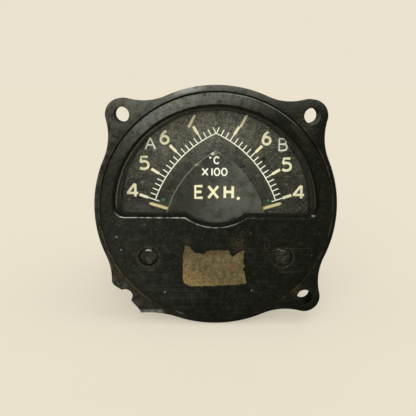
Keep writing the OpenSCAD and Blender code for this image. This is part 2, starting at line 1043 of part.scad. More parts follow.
// Front and rear half staffs, each on a foot that is cemented to the coil
module staff_a() {
    tip_r = staff_r / 2;
    color("#b9bab6")
        at_pivot() {
            rod(tip_r, z_bridge_back + 0.35, z_bridge_back - 0.35 - eps);
            rod(staff_r, z_bridge_back - 0.35, z_coil + 0.4);
            rod(collet_r, z_front_spring - 0.05, z_front_spring - spring_w - 0.05);
            rod(3 * staff_r, z_coil + 0.4 + eps, z_coil);
            rod(3 * staff_r, z_coil_back, z_coil_back - 0.4 - eps);
            rod(staff_r, z_coil_back - 0.4, z_rear_bridge + 0.45);
            rod(collet_r, z_rear_spring + 0.05, z_rear_spring - spring_w - 0.05);
            rod(tip_r, z_rear_bridge + 0.45 + eps, z_rear_bridge - 0.45);
        }
}

module staff_b() {
    flip()
        staff_a();
}

// Copper coil wound as a flat frame round the core
module coil_a() {
    h = z_coil - z_coil_back;
    color("#9a5a34")
        at_pivot()
            rotate(coil_rest)
                difference() {
                    translate([-coil_half_w, -coil_y / 2, z_coil_back])
                        cube([2 * coil_half_w, coil_y, h]);
                    translate([coil_wall - coil_half_w, -coil_y, z_coil_back + coil_end])
                        cube([2 * (coil_half_w - coil_wall), 2 * coil_y, h - 2 * coil_end]);
                }
}

module coil_b() {
    flip()
        coil_a();
}

// Pointer along +x: blade, hub and tail
module pointer_blade() {
    half = pointer_w / 2;
    root = half + 0.25;
    root_l = 0.29 * pointer_len;
    tip = 0.3 * half;
    tip_l = 0.9;
    back_half_w = 0.6;
    linear_extrude(pointer_t)
        difference() {
            union() {
                polygon([[0, -root], [root_l, -half], [pointer_len - tip_l, -half],
                    [pointer_len, -tip], [pointer_len, tip],
                    [pointer_len - tip_l, half], [root_l, half], [0, root]]);
                translate([-tail_reach, -back_half_w])
                    square([tail_reach, 2 * back_half_w]);
                translate([-tail_reach, 0])
                    circle(r = weight_r);
                circle(r = hub_r);
            }
            circle(r = staff_r);
            translate([-tail_reach, 0])
                circle(r = weight_r / 2);
        }
}

module pointer_hub() {
    translate([0, 0, pointer_t - eps])
        difference() {
            cylinder(r = hub_r - 0.4, h = 0.2);
            translate([0, 0, -1])
                cylinder(r = staff_r, h = 3);
        }
}

module weight() {
    side = 0.3;
    rod(weight_r / 2, pointer_t + side, -side);
    rod(weight_r, pointer_t + side, pointer_t);
    rod(weight_r, 0, -side);
}

module pointer_a() {
    color("#d8cf9c")
        translate([pivot_x, pivot_y, z_pointer_a - pointer_t])
            rotate(180 - rest_angle) {
                pointer_blade();
                pointer_hub();
            }
}

module pointer_b() {
    color("#d8cf9c")
        translate([-pivot_x, pivot_y, z_pointer_b - pointer_t])
            rotate(rest_angle) {
                pointer_blade();
                pointer_hub();
            }
}

module balance_weights_a() {
    color("#c0a469")
        translate([pivot_x, pivot_y, z_pointer_a - pointer_t])
            rotate(180 - rest_angle)
                translate([-tail_reach, 0, 0])
                    weight();
}

module balance_weights_b() {
    color("#c0a469")
        translate([-pivot_x, pivot_y, z_pointer_b - pointer_t])
            rotate(rest_angle)
                translate([-tail_reach, 0, 0])
                    weight();
}

// Slotted zero screw with a grooved neck and an eccentric pin; slot is the slot's angle
module zero_screw(slot) {
    head_r = zero_head_d / 2;
    top = z_face - zero_sink;
    neck = zero_neck_r();
    groove = z_cover_back - 0.15;
    at_zero()
        difference() {
            union() {
                rod(head_r, top, zero_web() + 0.05);
                rod(neck, zero_web() + 0.05 + eps, groove);
                rod(neck - 0.4, groove + eps, groove - 0.4 - eps);
                rod(neck, groove - 0.4, groove - 0.8);
                rotate(zero_dir)
                    translate([eccentric, 0, 0])
                        rod(pin_r, groove - 0.8 + eps, z_pin_end);
            }
            rotate(slot)
                translate([-head_r - 1, -zero_slot_w / 2, top - 0.8])
                    cube([2 * head_r + 2, zero_slot_w, 2]);
        }
}

module zero_screw_a() {
    color("#3b3a36")
        zero_screw(slot = 42);
}

module zero_screw_b() {
    color("#3b3a36")
        flip()
            zero_screw(slot = 40);
}

// Spring clip in the zero screw's groove, behind the cover
module zero_clip_a() {
    neck = zero_neck_r();
    groove = z_cover_back - 0.15;
    color("#8d8a80")
        at_zero()
            up_from(groove - 0.4 + eps, 0.4 - 2 * eps)
                difference() {
                    circle(r = neck + 1.2);
                    circle(r = neck - 0.4);
                    translate([0, -neck / 2])
                        square([neck * 3, neck]);
                }
}

module zero_clip_b() {
    flip()
        zero_clip_a();
}

// Arm that shifts the front hairspring: ring, fork for the pin, and a tail with a post
module zero_arm_a() {
    fork_half = pin_r + fork_gap;
    fork_from = zero_reach + eccentric - pin_r - fork_wall;
    fork_to = zero_reach + eccentric + pin_r + fork_lip;
    color("#b59a5c")
        at_pivot()
            rotate(zero_dir) {
                up_from(z_arm - arm_t, arm_t)
                    difference() {
                        union() {
                            circle(r = arm_boss_r + 1);
                            translate([0, -arm_half_w])
                                square([fork_from, 2 * arm_half_w]);
                            translate([fork_from - arm_half_w, -fork_half - fork_wall])
                                square([fork_to - fork_from + arm_half_w, 2 * (fork_half + fork_wall)]);
                            rotate(tail_turn) {
                                translate([0, -tail_half_w])
                                    square([spring_post_at, 2 * tail_half_w]);
                                translate([spring_post_at, 0])
                                    circle(r = tail_eye_r);
                            }
                        }
                        circle(r = arm_boss_r + turn_gap);
                        translate([fork_from, -fork_half])
                            square([fork_to, 2 * fork_half]);
                    }
                rotate(tail_turn)
                    translate([spring_post_at, 0, 0])
                        rod(spring_post_r, z_arm - arm_t + eps, z_front_spring - spring_w);
            }
}

module zero_arm_b() {
    flip()
        zero_arm_a();
}

module front_hairspring_a() {
    color("#c08a5a")
        at_pivot()
            translate([0, 0, z_front_spring - spring_w])
                rotate(zero_dir + tail_turn)
                    hairspring();
}

module front_hairspring_b() {
    flip()
        front_hairspring_a();
}

// Insulating board held on the inner ends of the studs
module terminal_board() {
    edge = 6;
    color("#7a5a34")
        difference() {
            translate([-stud_pitch_x / 2 - edge, -stud_pitch_y / 2 - edge, z_board_back])
                cube([stud_pitch_x + 2 * edge, stud_pitch_y + 2 * edge, board_t]);
            at_studs()
                rod(stud_r, z_board + eps, z_board_back - eps);
            for (s = [-1, 1])
                translate([0, s * bobbin_y, 0])
                    rod(1.2, z_board + eps, z_board_back - eps);
        }
}

// Wire-wound spools that trim each circuit
module resistor_bobbins() {
    flange = 1.2;
    color("#6b3b22")
        for (s = [-1, 1])
            translate([0, s * bobbin_y, z_board]) {
                rotate_extrude() {
                    square([bobbin_r, flange]);
                    square([bobbin_r - 1.2, bobbin_l]);
                    translate([0, bobbin_l - flange])
                        square([bobbin_r, flange]);
                }
                translate([0, 0, -board_t])
                    cylinder(r = 1.2, h = board_t + eps);
            }
}

module terminal_studs() {
    free = z_rear - bush_flange_t - nut_t - stud_shank_out;
    color("#a8894e")
        at_studs() {
            rod(stud_r, z_board + nut_t + wire_grip, free);
            rod(stud_tip_r, free + eps, z_rear - stud_out);
        }
}

// A hexagon nut on each stud inside and another outside
module terminal_nuts() {
    color("#a8894e")
        at_studs()
            for (z = [z_board, z_rear - bush_flange_t - nut_t])
                translate([0, 0, z])
                    difference() {
                        cylinder(r = nut_af / sqrt(3), h = nut_t, $fn = 6);
                        translate([0, 0, -eps])
                            cylinder(r = stud_r, h = nut_t + 2 * eps);
                    }
}

module terminal_bushes() {
    color("#3a2a20")
        at_studs()
            difference() {
                union() {
                    rod(bush_r, z_board_back, z_rear);
                    rod(bush_r + 1.6, z_rear, z_rear - bush_flange_t);
                }
                rod(stud_r, z_board_back + eps, z_rear - bush_flange_t - eps);
            }
}

// A wire through a list of points, with a small dressed bend at each
module wire(points) {
    for (i = [0 : len(points) - 2]) {
        d = points[i + 1] - points[i];
        translate(points[i])
            rotate([0, acos(d[2] / norm(d)), atan2(d[1], d[0])])
                cylinder(r = wire_r, h = norm(d), $fn = 24);
        if (i > 0)
            translate(points[i])
                sphere(r = 1.2 * wire_r, $fn = 24);
    }
}

// Each circuit has a lead to its rear bridge and one to the chassis plate
module lead_wires() {
    x = stud_pitch_x / 2;
    y = stud_pitch_y / 2;
    z = z_board + nut_t + wire_grip;
    bridge_end = [pivot_x + 0.7 * pillar_dx(), pivot_y + 0.7 * pillar_dy(), z_rear_bridge_back];
    color("#7d2b22")
        for (s = [0, 1])
            mirror([s, 0, 0]) {
                wire([[x, y, z], [x, y, z + 4], bridge_end - [0, 0, 3], bridge_end]);
                wire([[x, -y, z], [x, -y, z + 4], [3, 0, z_pole_back - 16],
                    [3, 3, z_pole_back], [3, 3, z_pole]]);
            }
}

stand() case();
stand() flange();
stand() front_cover();
stand() window_glass();
stand() glass_gasket();
stand() glass_retainer();
stand() cover_seal();
stand() cover_screws();
stand() paper_label();
stand() dial_plate();
stand() dial_pillars();
stand() dial_screws();
stand() arch_plate();
stand() arch_pillars();
stand() arch_screws();
stand() pointer_stops();
stand() chassis_plate();
stand() chassis_screws();
stand() pole_screws();
stand() pole_pieces_a();
stand() pole_pieces_b();
stand() magnet_a();
stand() magnet_b();
stand() core_a();
stand() core_b();
stand() core_bracket_a();
stand() core_bracket_b();
stand() front_bridge_a();
stand() front_bridge_b();
stand() bridge_pillars();
stand() front_jewel_a();
stand() front_jewel_b();
stand() rear_bridge_a();
stand() rear_bridge_b();
stand() rear_jewel_a();
stand() rear_jewel_b();
stand() rear_hairspring_a();
stand() rear_hairspring_b();
stand() staff_a();
stand() staff_b();
stand() coil_a();
stand() coil_b();
stand() pointer_a();
stand() pointer_b();
stand() balance_weights_a();
stand() balance_weights_b();
stand() zero_screw_a();
stand() zero_screw_b();
stand() zero_clip_a();
stand() zero_clip_b();
stand() zero_arm_a();
stand() zero_arm_b();
stand() front_hairspring_a();
stand() front_hairspring_b();
stand() terminal_board();
stand() resistor_bobbins();
stand() terminal_studs();
stand() terminal_nuts();
stand() terminal_bushes();
stand() lead_wires();
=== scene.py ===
# %% [markdown]
# # An exhaust gas temperature gauge with two pointers
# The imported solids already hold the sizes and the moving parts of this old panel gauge.
# What they lack is what age and the mould gave the real one: soft edges, a crazed and dusty
# black, paint on the dial, a broken ear and a torn label. Each cell below adds one of these.

# %% Load the solids
import math
import bpy
import bmesh
from mathutils import Matrix, Vector, noise


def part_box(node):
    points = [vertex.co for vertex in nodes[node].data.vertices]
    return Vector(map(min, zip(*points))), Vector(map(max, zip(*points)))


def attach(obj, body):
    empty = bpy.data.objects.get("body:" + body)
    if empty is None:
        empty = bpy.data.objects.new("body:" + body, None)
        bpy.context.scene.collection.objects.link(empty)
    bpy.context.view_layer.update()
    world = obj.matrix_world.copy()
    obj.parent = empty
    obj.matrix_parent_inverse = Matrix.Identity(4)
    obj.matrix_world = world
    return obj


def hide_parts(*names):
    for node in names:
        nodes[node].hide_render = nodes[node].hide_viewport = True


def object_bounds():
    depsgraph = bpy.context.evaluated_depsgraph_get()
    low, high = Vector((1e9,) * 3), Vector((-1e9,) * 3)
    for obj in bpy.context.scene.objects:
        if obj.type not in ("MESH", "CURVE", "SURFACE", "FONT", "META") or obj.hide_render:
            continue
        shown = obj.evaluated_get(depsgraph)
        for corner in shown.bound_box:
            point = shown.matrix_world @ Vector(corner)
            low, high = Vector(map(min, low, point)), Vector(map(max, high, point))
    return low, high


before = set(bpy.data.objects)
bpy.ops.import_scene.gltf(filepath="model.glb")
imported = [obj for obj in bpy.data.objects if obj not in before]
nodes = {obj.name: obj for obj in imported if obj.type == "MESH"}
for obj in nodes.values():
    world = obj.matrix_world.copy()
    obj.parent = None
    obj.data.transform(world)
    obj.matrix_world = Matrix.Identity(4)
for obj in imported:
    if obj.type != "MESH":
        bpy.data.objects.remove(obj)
cad_box = [list(corner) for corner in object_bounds()]
scene = bpy.context.scene
scene.view_settings.view_transform = "Standard"

# %% [markdown]
# ## The dial's own millimetres
# The solids stand with the dial facing -Y. It is easier to draw a dial as one looks at it:
# x to the right, y up, z towards the reader, in millimetres, with z = 0 on the flange's
# front. One matrix then stands every finished mesh up in metres.

# %% Dial frame
FLANGE_T = 7.2
STAND = (Matrix.Scale(0.001, 4) @ Matrix.Rotation(math.radians(90), 4, "X")
         @ Matrix.Translation((0, 0, FLANGE_T)))


def depth_of(node, front=True):
    """Depth z, in the dial's millimetres, of a solid's front or back."""
    low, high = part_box(node)
    return -(low if front else high).y * 1000 - FLANGE_T


Z_DIAL = depth_of("dial_plate")
Z_ARCH = depth_of("arch_plate")
print("dial surface at", round(Z_DIAL, 2), "arch plate at", round(Z_ARCH, 2))

# %% [markdown]
# ## Camera
# A camera was fitted to the four fixing holes, the extents of the flange and the cover, and
# the shift between two holes' front and rear rims. It stands about 20 cm in front and looks
# down by 12 degrees, so the lower walls of the window and the thickness of the flange show
# a little. The distance is the least certain of these. The camera comes first, because
# every later choice is judged through it.

# %% Camera
CAMERA_TURNS = {"Z": -0.295, "Y": 0.672, "X": 11.821}
CAMERA_SHIFT = (2.692, -0.332, -202.651)
LENS_MM, SENSOR_MM = 51.68, 36


def fitted_camera():
    turn = Matrix.Identity(4)
    for axis, degrees in CAMERA_TURNS.items():
        turn = turn @ Matrix.Rotation(math.radians(degrees), 4, axis)
    seat = (Matrix.Translation(CAMERA_SHIFT) @ turn).inverted()
    place, look, _ = (STAND @ seat).decompose()
    data = bpy.data.cameras.new("photo_camera")
    data.sensor_width = SENSOR_MM
    data.lens = LENS_MM
    data.clip_start = 0.01
    camera = bpy.data.objects.new("photo_camera", data)
    camera.location = place
    camera.rotation_mode = "QUATERNION"
    camera.rotation_quaternion = look
    scene.collection.objects.link(camera)
    return camera


scene.camera = fitted_camera()
print("camera at", [round(v, 4) for v in scene.camera.location])

# %% [markdown]
# ## Sums with sockets
# A worn surface is many small patterns added and multiplied. Wrapping a socket in a class
# that knows + - and * lets a pattern read like arithmetic, and one method makes any node, in
# a material as in the world. Every pattern is laid out in millimetres of the object itself,
# so it stays put on a moving part and is the same from every side.

# %% Node helpers
class Link:
    """An output socket that can be used in sums."""

    def __init__(self, home, socket):
        self.home, self.socket = home, socket

    def sum_of(self, kind, first, second):
        return self.home.node("ShaderNodeMath", {"operation": kind}, [first, second])

    def __add__(self, other):
        return self.sum_of("ADD", self, other)

    __radd__ = __add__

    def __sub__(self, other):
        return self.sum_of("SUBTRACT", self, other)

    def __rsub__(self, other):
        return self.sum_of("SUBTRACT", other, self)

    def __mul__(self, other):
        return self.sum_of("MULTIPLY", self, other)

    __rmul__ = __mul__

    def most(self, other):
        return self.sum_of("MAXIMUM", self, other)

    def size(self):
        return self.sum_of("ABSOLUTE", self, 0)

    def near(self, value, outer, inner):
        """1 within inner of a value, 0 beyond outer."""
        return (self - value).size().rise(outer, inner)

    def rise(self, low, high):
        """0 below low, 1 above high, and a smooth step between. low may be the larger."""
        flip = low > high
        ends = (high, low) if flip else (low, high)
        made = self.home.node("ShaderNodeMapRange", {"interpolation_type": "SMOOTHSTEP"},
                              {0: self, 1: ends[0], 2: ends[1]})
        return 1 - made if flip else made


class Nodes:
    """The nodes of a material or of the world."""

    def __init__(self, owner):
        owner.use_nodes = True
        self.owner, self.tree = owner, owner.node_tree
        self.tree.nodes.clear()

    def node(self, kind, settings=None, values=None, out=0):
        """Any node, from its type, its settings and what its sockets get. Gives an output."""
        made = self.tree.nodes.new(kind)
        for key, value in (settings or {}).items():
            setattr(made, key, value)
        pairs = values.items() if isinstance(values, dict) else enumerate(values or [])
        for key, value in pairs:
            if isinstance(value, Link):
                self.tree.links.new(value.socket, made.inputs[key])
            else:
                made.inputs[key].default_value = value
        return Link(self, made.outputs[out])

    def done(self, shader, kind="ShaderNodeOutputMaterial"):
        """Sends the shader to the output, and gives the material or the world."""
        out = self.tree.nodes.new(kind)
        self.tree.links.new(shader.socket, out.inputs["Surface"])
        return self.owner


class Finish(Nodes):
    """A material made of nodes. x, deep and y are the dial's directions in millimetres."""

    def __init__(self, name):
        super().__init__(bpy.data.materials.new(name))
        spot = self.node("ShaderNodeTexCoord", out="Object")
        self.mm = self.node("ShaderNodeVectorMath", {"operation": "SCALE"}, {0: spot, 3: 1000})
        self.x = self.node("ShaderNodeSeparateXYZ", {}, [self.mm], out=0)
        self.deep = self.node("ShaderNodeSeparateXYZ", {}, [self.mm], out=1)
        self.y = self.node("ShaderNodeSeparateXYZ", {}, [self.mm], out=2)

    def stretched(self, sx, sdeep, sy, shift=0):
        """The place, scaled by its own factor along each direction."""
        return self.node("ShaderNodeMapping", {}, {"Vector": self.mm, "Scale": (sx, sdeep, sy),
                                                   "Location": (shift, shift, shift)})

    def clouds(self, per_mm, detail=3, rough=0.5, at=None, twist=0):
        return self.node("ShaderNodeTexNoise", {}, {"Vector": at or self.mm, "Scale": per_mm,
                         "Detail": detail, "Roughness": rough, "Distortion": twist})

    def specks(self, per_mm, radius, share):
        """Small dots, in only a share of the cells."""
        where = {"Vector": self.mm, "Scale": per_mm}
        far = self.node("ShaderNodeTexVoronoi", {}, where)
        pick = self.node("ShaderNodeSeparateColor", {},
                         [self.node("ShaderNodeTexVoronoi", {}, where, out="Color")])
        return far.rise(radius, radius * 0.4) * pick.rise(1 - share, 1 - share + 0.02)

    def ring(self, cx, cy):
        """Distance in the dial's plane from a point."""
        dx, dy = self.x - cx, self.y - cy
        return self.node("ShaderNodeMath", {"operation": "SQRT"}, [dx * dx + dy * dy])

    def spot(self, cx, cy, uneven, outer, inner):
        """1 at a point and 0 away from it, with an edge made ragged by a pattern."""
        return (self.ring(cx, cy) + uneven).rise(outer, inner)

    def blend(self, share, first, second):
        """Mixes two colours; share 1 gives the second."""
        return self.node("ShaderNodeMix", {"data_type": "RGBA"},
                         {0: share, 6: self.rgba(first), 7: self.rgba(second)}, out=2)

    def rgba(self, colour):
        return colour if isinstance(colour, Link) else (*colour, 1)

    def bump(self, height, mm, strength):
        values = {"Height": height, "Distance": mm * 0.001, "Strength": strength}
        return self.node("ShaderNodeBump", {}, values)

    def surface(self, colour, rough, metal=0.0, normal=None, **fixed):
        values = {"Base Color": self.rgba(colour), "Roughness": rough, "Metallic": metal}
        if normal:
            values["Normal"] = normal
        values.update({key.replace("_", " "): value for key, value in fixed.items()})
        return self.node("ShaderNodeBsdfPrincipled", {}, values)


print("node helpers ready")

# %% [markdown]
# ## Background, floor and light
# The photograph is a cut-out on plain cream. The world shows that cream to the camera and
# in reflections, and a softer plain light to everything else. The floor is a plain cream
# surface that takes a shadow. Two sun lamps with very wide discs act as soft boxes: one
# from the upper left in front, which gives the sheen on the upper half of the cover, and a
# weaker one from above.

# %% Stage and lamps
CREAM = (0.823, 0.761, 0.624)


def lit_world(level):
    room = Nodes(bpy.data.worlds.new("plain_room"))
    camera, mirrored, through = (room.node("ShaderNodeLightPath", out=ray) for ray in
                                 ("Is Camera Ray", "Is Glossy Ray", "Is Transmission Ray"))
    shown = room.node("ShaderNodeMath", {"operation": "ADD", "use_clamp": True},
                      [camera, mirrored + through])
    soft = room.node("ShaderNodeBackground", {}, {"Color": (1, 0.98, 0.94, 1), "Strength": level})
    cream = room.node("ShaderNodeBackground", {}, {"Color": (*CREAM, 1)})
    mix = room.node("ShaderNodeMixShader", {}, [shown, soft, cream])
    scene.world = room.done(mix, "ShaderNodeOutputWorld")


def wide_sun(name, towards, strength, disc_degrees):
    """A sun lamp that shines towards a direction from a wide disc."""
    data = bpy.data.lights.new(name, "SUN")
    data.energy = strength
    data.angle = math.radians(disc_degrees)
    data.color = (1, 0.985, 0.95)
    lamp = bpy.data.objects.new(name, data)
    lamp.rotation_mode = "QUATERNION"
    lamp.rotation_quaternion = Vector(towards).to_track_quat("-Z", "Y")
    scene.collection.objects.link(lamp)


def pale_floor():
    bm = bmesh.new()
    bmesh.ops.create_grid(bm, x_segments=4, y_segments=4, size=30)
    bmesh.ops.translate(bm, vec=(0, 0, cad_box[0][2] - 0.0002), verts=bm.verts)
    mesh = bpy.data.meshes.new("floor")
    bm.to_mesh(mesh)
    bm.free()
    floor = bpy.data.objects.new("floor", mesh)
    scene.collection.objects.link(floor)
    made = Finish("pale_floor")
    grain = made.clouds(0.02, 3)
    matte = made.surface(made.blend(grain * 0.04, CREAM, (0.9, 0.85, 0.7)), 0.9, Specular_IOR_Level=0.0)
    plain = made.node("ShaderNodeEmission", {}, {"Color": (*CREAM, 1), "Strength": 1})
    seen = made.node("ShaderNodeLightPath", out="Is Camera Ray")
    mesh.materials.append(made.done(made.node("ShaderNodeMixShader", {}, [seen * 0.55, matte, plain])))


lit_world(0.5)
wide_sun("soft_front", (0.16, 1.0, -0.5), 2.1, 46)
wide_sun("soft_top", (-0.3, 0.35, -1.0), 0.8, 50)
pale_floor()
print("stage and two soft lamps")

# %% [markdown]
# ## The black moulding
# The flange, the case and the cover are the same black moulding. Its colour is nearly black
# with brown in it; handling dust with a painted sheen lies on the upper left, the right side is
# painted darker as shade, olive dirt sits in the groove round the cover, and there are pale
# specks, fine scratches and a few chips. One function gives all of them, so the pieces match,
# and its arguments say how much dust and painted sheen a piece has.

# %% Moulding finish
BLACK = (0.0020, 0.0026, 0.0013)
WARM_BLACK = (0.0042, 0.0046, 0.0028)
# Grey of the dust and of the painted sheen on the upper left
DUST_AND_SHEEN_GREY = (0.165, 0.172, 0.146)
OLIVE_DIRT = (0.050, 0.044, 0.024)
# Painted highlight on the window's lower lip
LIP_HIGHLIGHT_GREY = (0.42, 0.41, 0.37)
# The zero screws stand at plus and minus ZERO_X
ZERO_X, ZERO_Y = 22.95, -16.5
# The cover's short glints as (x, y, half length, share), and its pale spots as (x, y, size)
GLINTS = [(-22.8, -13.3, 1.1, 0.4), (21.9, -13.7, 1.2, 0.85), (25.0, -19.7, 0.8, 0.6),
          (32.9, -1.9, 0.7, 0.35)]
PALE_SPOTS = [(-33.6, -9.4, 0.5), (-32.2, -13.9, 0.45), (-17.4, -29.0, 0.5), (12.6, -28.3, 0.4)]


def height_of(f):
    """Height in front of the flange's face."""
    return 0 - f.deep - FLANGE_T


def moulding(name, dust=1.0, dirt_ring=None, gloss=0.065, marks=None, high=(20.1, 47.2), lean=0.34,
             thin=(23, 31), side=0.07, front=0.0, dull=None):
    """Dust with a painted sheen thickens over the heights in high, leans to the left by lean, thins
    again beyond the distances in thin, and has a little of its own on the left side. dirt_ring is
    the radius of a dirty groove, front the height of the face, marks adds a piece's own marks, and
    dull gives the places painted plain matt black as shade."""
    f = Finish(name)
    broad = f.clouds(0.11, 4, 0.6)
    patchy = f.clouds(0.45, 5, 0.65)
    grain = f.clouds(1.4, 3, 0.65)
    facing = height_of(f).rise(front - 0.4, front - 0.1)
    upper = (f.y * 0.95 - f.x * lean).rise(*high) * (1 - (0 - f.x).rise(*thin) * 0.6)
    left = (f.y * 0.1 - f.x).rise(-8, 34)
    veil = (patchy * 1.1 + grain * 0.9).rise(0.45, 1.25)
    # Dust on the upper left, with a painted sheen from the light there
    dust_and_sheen = (upper + left * side) * veil * dust
    colour = f.blend(broad.rise(0.35, 0.7), BLACK, WARM_BLACK)
    colour = f.blend((grain * 0.6 + patchy * 0.4).rise(0.49, 0.62) * 0.19, colour, (0.052, 0.055, 0.043))
    # Painted shade: the right side, away from the light, is darker
    colour = f.blend(f.x.rise(10, 36) * 0.45, colour, BLACK)
    if marks:
        dust_and_sheen = dust_and_sheen * marks(f, None, patchy, grain)
    colour = f.blend(dust_and_sheen, colour, DUST_AND_SHEEN_GREY)
    if dirt_ring:
        near = f.ring(0, 0).near(dirt_ring, 0.4, 0.1)
        share = (f.x * 0.5 - f.y).rise(-22, 8) + (0 - f.x).rise(20, 34) * 0.6
        share = share * (1 - f.y.rise(-31, -35) * 0.85) * (1 - f.x.rise(8, 24) * 0.35)
        colour = f.blend(near * share * patchy.rise(0.36, 0.58) * 0.8, colour, OLIVE_DIRT)
    lines = f.clouds(1.0, 2, 0.5, at=f.stretched(0.05, 1, 2.6), twist=0.4)
    scratch = lines.rise(0.62, 0.69) * broad.rise(0.36, 0.6) * facing
    colour = f.blend(scratch * 0.22, colour, (0.075, 0.077, 0.065))
    white = f.specks(0.42, 0.15, 0.2) * f.clouds(0.2, 2).rise(0.45, 0.65) + f.specks(1.1, 0.2, 0.12) * 0.35
    colour = f.blend(white * facing * 0.7, colour, (0.26, 0.26, 0.22))
    if marks:
        colour = marks(f, colour, patchy, grain)
    rough = 0.42 + patchy * 0.16 + dust_and_sheen * 0.25 + (1 - facing) * 0.2
    normal = f.bump(grain * 0.6 + patchy * 0.6 - scratch * 0.4, 0.06, 0.3)
    shader = f.surface(colour, rough, normal=normal, Specular_IOR_Level=gloss)
    if dull:
        matt = f.node("ShaderNodeBsdfDiffuse", {}, {"Color": (*BLACK, 1)})
        shader = f.node("ShaderNodeMixShader", {}, [dull(f), shader, matt])
    return f.done(shader)


def painted_groove_shade(f):
    """Where the shoulder meets the flange it is painted plain matt black as shade, but for the part
    at the upper right, which catches the light."""
    z = height_of(f)
    lit_edge = f.x.rise(-7, 2) * f.y.rise(25, 33)
    return z.rise(1.35, 0.95) * f.ring(0, 0).rise(37.0, 37.4) * (1 - lit_edge)


def cover_marks(f, colour, patchy, grain):
    """A painted highlight runs along the shoulder at the upper right and along the window's lower
    lip, the lower left is wiped, brown smudges lie over the label, the recesses have dirty rims,
    and painted glints, pale spots and a chip are scattered about. Without a colour it gives where
    dust and painted sheen can lie: not in the window's lip or the groove."""
    z = height_of(f)
    inner = f.ring(0, 0).rise(36.9, 36.5)
    if not colour:
        return (1 - inner * z.rise(2.07, 1.98)) * z.rise(1.0, 1.5)
    # Painted highlight along the shoulder's edge at the upper right
    edge = z.near(1.45, 0.25, 0.08) * (1 - inner) * f.y.rise(25, 33) * f.x.rise(-4, 8)
    colour = f.blend(edge * patchy.rise(0.3, 0.5) * 0.35, colour, (0.30, 0.29, 0.25))
    # Painted highlight along the window's lower lip
    low = f.y.rise(-0.9, -1.9) * f.y.rise(-7.0, -6.4) * inner * (f.x * 0.9 + f.y * 1.4).rise(16, -14)
    low = low * (1 - f.y.rise(-2.6, -3.6) * 0.5)
    bright = z.near(1.90, 0.11, 0.03) * low * (0.10 + patchy.rise(0.42, 0.56) * 0.90)
    colour = f.blend(bright, colour, LIP_HIGHLIGHT_GREY)
    wiped = f.clouds(1.0, 2, 0.5, at=f.stretched(0.03, 1, 1.6)).rise(0.50, 0.62)
    wiped = wiped * f.y.rise(-19, -26) * f.x.rise(8, -8) * inner
    colour = f.blend(wiped * 0.2, colour, (0.036, 0.038, 0.032))
    # A painted glint on the lower shoulder
    shoulder_glint = f.ring(0, 0).rise(38.5, 38.8) * f.x.near(-12.3, 2.0, 0.6) * f.y.rise(-35, -36)
    colour = f.blend(shoulder_glint * z.rise(0.1, 0.3) * grain.rise(0.3, 0.5) * 0.7, colour, (0.50, 0.50, 0.46))
    smudge = f.spot(7.6, -11.4, patchy * 9, 8.0, 5.0) + f.spot(-9.8, -10.8, patchy * 5, 4.2, 2.6)
    colour = f.blend(smudge * grain.rise(0.35, 0.65) * 0.55, colour, (0.060, 0.045, 0.022))
    right = f.spot(17.5, -13.2, patchy * 6, 5.4, 3.2)
    colour = f.blend(right * grain.rise(0.4, 0.7) * 0.5, colour, (0.065, 0.048, 0.02))
    brown = f.x.rise(-6, 18) * f.clouds(0.32, 5, 0.7).rise(0.54, 0.68)
    colour = f.blend(brown * 0.35, colour, (0.030, 0.023, 0.010))
    olive = f.spot(26.5, 25.5, patchy * 8, 10.5, 4.6) * (1 - inner)
    colour = f.blend(olive * grain.rise(0.35, 0.6) * 0.3, colour, (0.048, 0.044, 0.026))
    for side, share in ((-1, 0.5), (1, 0.26)):
        rim = f.ring(side * ZERO_X, ZERO_Y).near(3.6, 0.9, 0.1) * grain.rise(0.40, 0.58)
        colour = f.blend(rim * share, colour, (0.050, 0.045, 0.026))
    for cx, cy, half, share in GLINTS:
        glint = f.y.near(cy, 0.42, 0.12) * f.x.near(cx, half, half * 0.5)
        glint = glint * z.rise(2.07, 1.9) * grain.rise(0.34, 0.5)
        colour = f.blend(glint * share, colour, (0.42, 0.41, 0.35))
    for cx, cy, size in PALE_SPOTS:
        colour = f.blend(f.ring(cx, cy).rise(size, size * 0.4) * 0.45, colour, (0.26, 0.26, 0.23))
    chip = f.spot(-4.1, 38.1, grain * 0.8, 1.25, 0.8)
    return f.blend(chip * 0.9, colour, (0.050, 0.034, 0.020))


